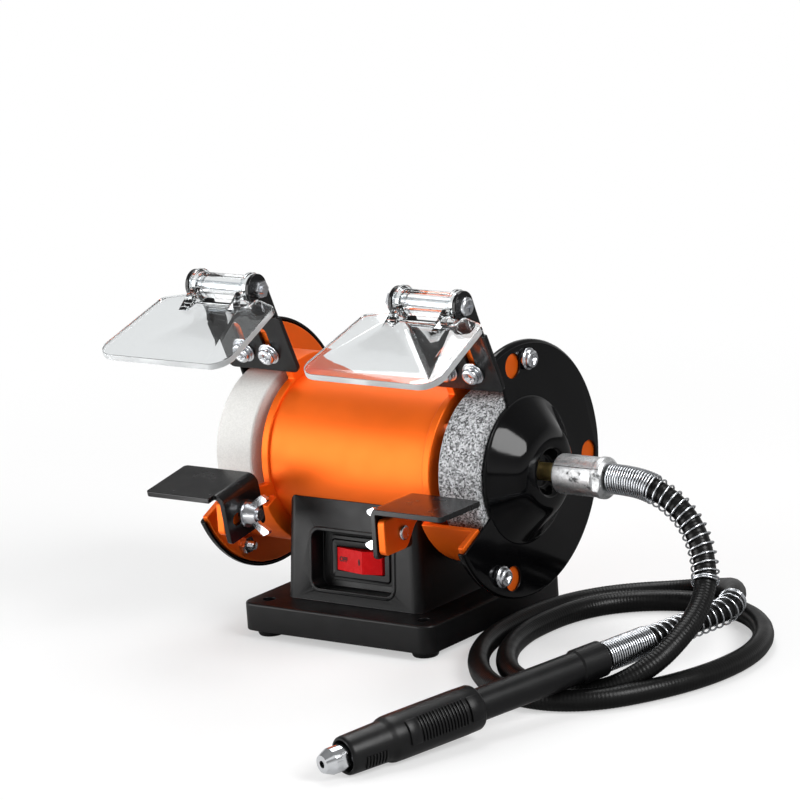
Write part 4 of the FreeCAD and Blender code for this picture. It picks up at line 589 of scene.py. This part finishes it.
def clamped(value):
    """Value held between 0 and 1."""
    return min(max(value, 0.0), 1.0)


def helix(line, close_turns, open_turns):
    """Spring wire round the start of a line: close turns, open turns that hang a little, two end turns."""
    s = sizes()
    along = distances(line)
    down = Vector((0, 0, -1))
    spots = []
    travelled = 1.2 * s.wire
    side = Vector((0, 1, 0))
    at = 0
    for k in range((close_turns + open_turns) * TURN_POINTS + 1):
        turn = k / TURN_POINTS
        while along[at + 1] < travelled:
            at += 1
        share = (travelled - along[at]) / (along[at + 1] - along[at])
        centre = line[at].lerp(line[at + 1], share)
        tangent = (line[at + 2] - line[max(at - 1, 0)]).normalized()
        side = (side - tangent * side.dot(tangent)).normalized()
        up = tangent.cross(side)
        opening = clamped(turn - close_turns) * clamped(close_turns + open_turns - END_TURNS - turn)
        radius = s.close_radius + (s.open_radius - s.close_radius) * clamped((turn - close_turns) / 2)
        drop = (down - tangent * down.dot(tangent)) * OPEN_HANG * opening
        out = side * math.cos(math.tau * turn) + up * math.sin(math.tau * turn)
        spots.append(centre + drop + out * radius)
        travelled += (s.close_pitch + (s.open_pitch - s.close_pitch) * opening) / TURN_POINTS
    return spots


class GRINDER_OT_flexible_shaft(bpy.types.Operator):
    """Rubber sheath along its smooth route, with a relief spring at each end"""
    bl_idname = "grinder.flexible_shaft"
    bl_label = "Flexible shaft"

    def execute(self, context):
        s = sizes()
        line = route_line(40)
        waves = [1 - s.ripple_depth / s.sheath * (1 - math.cos(math.tau * d / s.ripple))
                 for d in distances(line)]
        sheath = swept("sheath", line, s.sheath / 2, "frame", "sheath_rubber", waves, 6, ("flex_sheath",))
        coarse = route_line(12)
        for name, node, step, close_turns, open_turns in RELIEF_SPRINGS:
            wire = helix(coarse[::step], close_turns, open_turns)
            swept(name, wire, s.wire / 2, "frame", "bright_steel", None, 2, (node,))
        on_cord = [frame["nodes"][n] for n in ON_CORD_NODES]
        on_cord += [bpy.data.objects[n] for n in ON_CORD_PIECES]
        return {"FINISHED"}


# Castings, covers and base

class GRINDER_OT_castings(bpy.types.Operator):
    """Guard castings and the motor tube, powder coated"""
    bl_idname = "grinder.castings"
    bl_label = "Guards and motor tube"

    def execute(self, context):
        for side in SIDES:
            rounded("wheel_guard_" + side, sizes().cast_edge)
        paint("motor_tube")
        return {"FINISHED"}


class GRINDER_OT_covers(bpy.types.Operator):
    """Pressed side covers in gloss enamel"""
    bl_idname = "grinder.covers"
    bl_label = "Side covers"

    def execute(self, context):
        for side in SIDES:
            rounded("wheel_cover_" + side, sizes().edge)
        return {"FINISHED"}


class GRINDER_OT_base(bpy.types.Operator):
    """Moulded base with its bottom plate, feet, cord gland and capacitor"""
    bl_idname = "grinder.base"
    bl_label = "Base"

    def execute(self, context):
        rounded("base_housing", sizes().edge)
        paint("base_cover", "base_cover_screws", "run_capacitor")
        rounded("rubber_feet", sizes().cast_edge)
        rounded("cord_gland", sizes().cast_edge)
        return {"FINISHED"}


class GRINDER_OT_switch(bpy.types.Operator):
    """Rocker switch with its bezel, its mark and a small inlay at the ridge"""
    bl_idname = "grinder.switch"
    bl_label = "Switch"

    def execute(self, context):
        rounded("switch_frame", sizes().edge)
        rocker = rounded("switch_rocker", 0.5 * sizes().edge, angle=10.0)
        for vertex in rocker.data.vertices:
            height = (vertex.co - FRONT).dot(FRONT_OUT) + ROCKER_DEPTH
            if vertex.co.x > ROCKER_RIDGE and height > 0:
                vertex.co -= FRONT_OUT * ROCKER_FALL * (vertex.co.x - ROCKER_RIDGE)
        letters = bpy.data.curves.new("letters", "FONT")
        letters.body = "OFF"
        letters.size = 3.0 * MM
        letters.align_x = "CENTER"
        letters.align_y = "CENTER"
        letters.offset = 0.12 * MM
        letters.extrude = 0.03 * MM
        self.mark("rocker_off_mark", shape_of(letters), at=-8.6 * MM, lift=1.35 * MM)
        inlay = bmesh.new()
        bmesh.ops.create_cone(inlay, cap_ends=True, segments=32, radius1=1.5 * MM, radius2=1.5 * MM,
                              depth=0.06 * MM)
        bmesh.ops.scale(inlay, vec=(0.4, 1.0, 1.0), verts=inlay.verts)
        self.mark("rocker_inlay", inlay, at=1.7 * MM, lift=3.57 * MM)
        return {"FINISHED"}

    def mark(self, name, shape, at, lift):
        """Lays a flat mark on the rocker's pressed face, at a place across it and a lift over its low end."""
        across = Vector((math.cos(ROCKER_SLOPE), 0, 0)) + FRONT_OUT * math.sin(ROCKER_SLOPE)
        place = Matrix((across, FRONT_UP, across.cross(FRONT_UP))).transposed().to_4x4()
        origin = FRONT + Vector((at, 0, 0)) + FRONT_OUT * (lift - ROCKER_DEPTH)
        bmesh.ops.transform(shape, matrix=Matrix.Translation(origin) @ place, verts=shape.verts)
        piece(name, shape, "rocker", "rubber")


class GRINDER_OT_sheet_metal(bpy.types.Operator):
    """Spark brackets and tool rests of bent sheet"""
    bl_idname = "grinder.sheet_metal"
    bl_label = "Brackets and rests"

    def execute(self, context):
        for side in SIDES:
            rounded("spark_bracket_" + side, sizes().edge)
            rounded("tool_rest_" + side, sizes().edge)
        return {"FINISHED"}


class GRINDER_OT_shields(bpy.types.Operator):
    """Clear eye shields with frosted edges and thick ends of the hinge barrel"""
    bl_idname = "grinder.shields"
    bl_label = "Eye shields"

    def execute(self, context):
        flat = Vector((0, -math.sin(SHIELD_TILT), math.cos(SHIELD_TILT)))
        for side in SIDES:
            pin = Vector(JOINTS["shield_tilt_" + side]["pos_m"])
            shield = rounded("eye_shield_" + side, sizes().edge)
            shield.data.materials.append(finish_of("clear_edge"))
            plate_end = pin.y - 10 * MM
            for face in shield.data.polygons:
                if abs(face.normal.dot(flat)) < 0.4 and face.center.y < plate_end:
                    face.material_index = 1
            rings = bmesh.new()
            for start in LUG_STARTS:
                ring = lathe([(start + along, radius) for along, radius in LUG], 56)
                bmesh.ops.translate(ring, vec=pin, verts=ring.verts)
                join(rings, ring)
            piece("shield_lugs_" + side, rings, "shield_" + side, "clear_plastic")
        return {"FINISHED"}


class GRINDER_OT_wheels(bpy.types.Operator):
    """Grinding wheels of bonded abrasive, with their flanges"""
    bl_idname = "grinder.wheels"
    bl_label = "Wheels"

    def execute(self, context):
        paint("grinding_wheel_right", "grinding_wheel_left", "inner_wheel_flanges", "outer_wheel_flanges")
        return {"FINISHED"}


class GRINDER_OT_fasteners(bpy.types.Operator):
    """Screws, nuts, washers and wing nuts"""
    bl_idname = "grinder.fasteners"
    bl_label = "Fasteners"

    def execute(self, context):
        paint("cover_nuts", "bracket_nuts", "wheel_nuts", "motor_tie_bolts")
        for side in SIDES:
            paint("hinge_nut_" + side, "rest_bolt_" + side, "rest_washer_" + side, "hinge_screw_" + side,
                  "wing_nut_" + side)
        up = Vector(JOINTS["bracket_slide_right"]["axis"])
        across = Vector((1, 0, 0))
        out = across.cross(up)
        self.with_washers("bracket_screws", (out, out), BRACKET_HEAD * MM, BRACKET_WASHERS)
        self.with_washers("cover_screws", (across, -across), COVER_HEAD * MM, COVER_WASHERS)
        return {"FINISHED"}

    def with_washers(self, node, outs, head, washers):
        """Copy of the screws stood off their seat by washers; outs are the ways out on the right and left."""
        shape = merged_copy(node)
        rings = bmesh.new()
        for verts in islands(shape):
            out = outs[0] if next(iter(verts)).co.x > 0 else outs[1]
            spot = screw_seat(verts, out, head)
            bmesh.ops.translate(shape, vec=out * washers[-1][1] * MM, verts=list(verts))
            for low, high, radius in washers:
                ring = lathe(((low, WASHER_BORE), (low, radius), (high, radius), (high, WASHER_BORE)), 40)
                soften(ring, 0.7, 0.18 * MM)
                bmesh.ops.transform(ring, matrix=basis(spot, out), verts=ring.verts)
                join(rings, ring)
        piece(node + "_stood_off", shape, BODIES[node], SLOTS[node], 40.0, (node,))
        piece(node + "_washers", rings, BODIES[node], SLOTS[node])


class GRINDER_OT_motor(bpy.types.Operator):
    """Motor's inner pieces"""
    bl_idname = "grinder.motor"
    bl_label = "Motor"

    def execute(self, context):
        paint("stator_core", "stator_winding", "rotor_core", "rotor_end_rings", "motor_shaft",
              "bearing_outer_rings", "bearing_inner_rings", "bearing_balls")
        return {"FINISHED"}


class GRINDER_OT_coupling(bpy.types.Operator):
    """Coupling and brass spigot at the motor's end of the flexible shaft"""
    bl_idname = "grinder.coupling"
    bl_label = "Coupling"

    def execute(self, context):
        rounded("coupling_collar", sizes().edge)
        paint("brass_spigot")
        return {"FINISHED"}


class GRINDER_OT_handpiece(bpy.types.Operator):
    """Handpiece with its stepped and ribbed grip sleeve"""
    bl_idname = "grinder.handpiece"
    bl_label = "Handpiece"

    def execute(self, context):
        paint("handpiece_spindle", "handpiece_bearings", "handpiece_body", "handpiece_cap", "collet_nut")
        s = sizes()
        sleeve = lathe(SLEEVE, 72)
        for middle in PAD_MIDDLES:
            for start, end in PAD_BARS:
                arc_bar(sleeve, (start * MM, end * MM), (9.0 * MM, 10.3 * MM + s.rib_height), middle,
                        span=62.0, steps=14, rounding=0.5 * MM)
            self.ribs(sleeve, start=44.6 * MM, count=s.grip_ribs, radius=10.0 * MM, middle=middle, span=64.0)
            self.ribs(sleeve, start=16.6 * MM, count=7, radius=8.5 * MM, middle=middle + 42.0, span=40.0)
        hand = basis(HAND_TIP, Vector(ROUTE[-1]) - HAND_TIP)
        bmesh.ops.transform(sleeve, matrix=hand, verts=sleeve.verts)
        piece("grip_sleeve_ribbed", sleeve, "sleeve", "black_plastic", 40.0, ("grip_sleeve",))
        return {"FINISHED"}

    def ribs(self, shape, start, count, radius, middle, span):
        """Row of ribs across the grip."""
        s = sizes()
        for k in range(count):
            at = start + k * s.rib_pitch
            arc_bar(shape, (at, at + 0.55 * s.rib_pitch), (radius - MM, radius + s.rib_height), middle,
                    span=span, steps=12, rounding=0.18 * MM)


# Stage

def seen_plainly(tree):
    """Output that is 1 for rays from the camera and rays through clear pieces, and 0 for the rest."""
    path = add(tree, "LightPath")
    either = add(tree, "Math", {0: path.outputs["Is Camera Ray"], 1: path.outputs["Is Transmission Ray"]},
                 operation="MAXIMUM")
    return either.outputs[0]


class GRINDER_OT_stage(bpy.types.Operator):
    """Camera, pale floor and soft studio light"""
    bl_idname = "grinder.stage"
    bl_label = "Stage"

    def execute(self, context):
        scene = context.scene
        scene.view_settings.view_transform = "Standard"
        turn, tilt, roll = (math.radians(a) for a in CAMERA_ANGLES)
        right = Vector((math.cos(turn), math.sin(turn), 0))
        up = Vector((-math.sin(turn) * math.sin(tilt), math.cos(turn) * math.sin(tilt), math.cos(tilt)))
        level = right * math.cos(roll) + up * math.sin(roll)
        upright = up * math.cos(roll) - right * math.sin(roll)
        lens = bpy.data.cameras.new("camera")
        lens.lens = CAMERA_LENS
        lens.sensor_width = 36
        lens.clip_end = 50
        eye = bpy.data.objects.new("camera", lens)
        axes = Matrix((level, upright, right.cross(up))).transposed().to_4x4()
        eye.matrix_world = Matrix.Translation(CAMERA_PLACE) @ axes
        scene.collection.objects.link(eye)
        scene.camera = eye
        self.floor(scene)
        self.world(scene)
        for name, place, across, watts, aim in LAMPS:
            lamp = bpy.data.lights.new(name, "AREA")
            lamp.shape = "SQUARE"
            lamp.size = across
            lamp.energy = watts
            holder = bpy.data.objects.new(name, lamp)
            holder.location = place
            holder.rotation_euler = (aim - Vector(place)).to_track_quat("-Z", "Y").to_euler()
            holder.visible_camera = False
            scene.collection.objects.link(holder)
        return {"FINISHED"}

    def floor(self, scene):
        """Wide white paper that keeps the shadow near the object and glows to plain white away from it.

        Rays that light the object or mirror in it meet a paper with painted light and shade: painted pale in
        front, where the light is taken to fall, and painted grey behind.
        """
        shape = bmesh.new()
        bmesh.ops.create_grid(shape, x_segments=1, y_segments=1, size=12.0)
        mesh = bpy.data.meshes.new("floor")
        shape.to_mesh(mesh)
        shape.free()
        ground = bpy.data.objects.new("floor", mesh)
        scene.collection.objects.link(ground)
        made = bpy.data.materials.new("studio_paper_white")
        made.use_nodes = True
        tree = made.node_tree
        tree.nodes.clear()
        way = add(tree, "TexCoord").outputs["Object"]
        far = add(tree, "VectorMath", {0: way}, operation="LENGTH")
        share = add(tree, "MapRange", {"Value": far.outputs["Value"], "From Min": 0.15, "From Max": 0.6,
                                       "To Min": 0.45, "To Max": 1.0}, interpolation_type="SMOOTHSTEP")
        # Painted light and shade on the paper for all but camera and clear rays: pale in front, grey behind
        front = add(tree, "VectorMath", {0: way, 1: (-0.5, -0.87, 0.0)}, operation="DOT_PRODUCT")
        painted_light_and_shade = add(tree, "MapRange", {"Value": front.outputs["Value"], "From Min": -0.15, "From Max": 0.35,
                                      "To Min": 0.22, "To Max": 0.9}, interpolation_type="SMOOTHSTEP")
        plain = seen_plainly(tree)
        tone = add(tree, "MixRGB", {"Fac": plain, "Color1": painted_light_and_shade.outputs["Result"],
                                    "Color2": (0.86, 0.86, 0.86, 1)})
        paper = add(tree, "BsdfDiffuse", {"Color": tone.outputs["Color"]})
        glow = add(tree, "Emission", {"Color": (1, 1, 1, 1), "Strength": 1.0})
        white = add(tree, "Math", {0: plain, 1: share.outputs["Result"]}, operation="MULTIPLY")
        both = add(tree, "MixShader", {0: white.outputs[0], 1: paper.outputs[0], 2: glow.outputs[0]})
        add(tree, "OutputMaterial", {"Surface": both.outputs[0]})
        mesh.materials.append(made)

    def world(self, scene):
        """Dim room, paler at the horizon; the camera and clear pieces see plain white in its place."""
        world = bpy.data.worlds.new("studio")
        world.use_nodes = True
        scene.world = world
        tree = world.node_tree
        tree.nodes.clear()
        way = add(tree, "TexCoord")
        parts = add(tree, "SeparateXYZ", {"Vector": way.outputs["Generated"]})
        ramp = add(tree, "ValToRGB", {"Fac": parts.outputs["Z"]},
                   ((0.05, (0.8, 0.8, 0.8)), (0.4, (0.22, 0.22, 0.22)), (1.0, (0.3, 0.3, 0.3))))
        room = add(tree, "Background", {"Color": ramp.outputs["Color"], "Strength": 1.0})
        white = add(tree, "Background", {"Color": (1, 1, 1, 1), "Strength": 1.0})
        sky = add(tree, "MixShader", {0: seen_plainly(tree), 1: room.outputs[0], 2: white.outputs[0]})
        add(tree, "OutputWorld", {"Surface": sky.outputs[0]})


# The cord's step looks up pieces of the coupling and the handpiece, so these two come before it
STEPS = (GRINDER_OT_stage, GRINDER_OT_coupling, GRINDER_OT_handpiece, GRINDER_OT_flexible_shaft,
         GRINDER_OT_castings, GRINDER_OT_covers, GRINDER_OT_base, GRINDER_OT_switch, GRINDER_OT_sheet_metal,
         GRINDER_OT_shields, GRINDER_OT_wheels, GRINDER_OT_fasteners, GRINDER_OT_motor)


class GRINDER_PT_panel(bpy.types.Panel):
    """Lists the steps in the sidebar"""
    bl_idname = "GRINDER_PT_panel"
    bl_label = "Bench grinder"
    bl_space_type = "VIEW_3D"
    bl_region_type = "UI"
    bl_category = "Grinder"

    def draw(self, context):
        for group in (context.scene.grinder_colours, context.scene.grinder_sizes):
            for name in group.__annotations__:
                self.layout.prop(group, name)
        for step in STEPS:
            self.layout.operator(step.bl_idname)


CLASSES = (GrinderColours, GrinderSizes, *STEPS, GRINDER_PT_panel)


def register():
    for item in CLASSES:
        bpy.utils.register_class(item)
    bpy.types.Scene.grinder_colours = PointerProperty(type=GrinderColours)
    bpy.types.Scene.grinder_sizes = PointerProperty(type=GrinderSizes)


def unregister():
    del bpy.types.Scene.grinder_sizes
    del bpy.types.Scene.grinder_colours
    for item in reversed(CLASSES):
        bpy.utils.unregister_class(item)


def main():
    register()
    for step in STEPS:
        group, name = step.bl_idname.split(".")
        getattr(getattr(bpy.ops, group), name)()


if __name__ == "__main__":
    main()
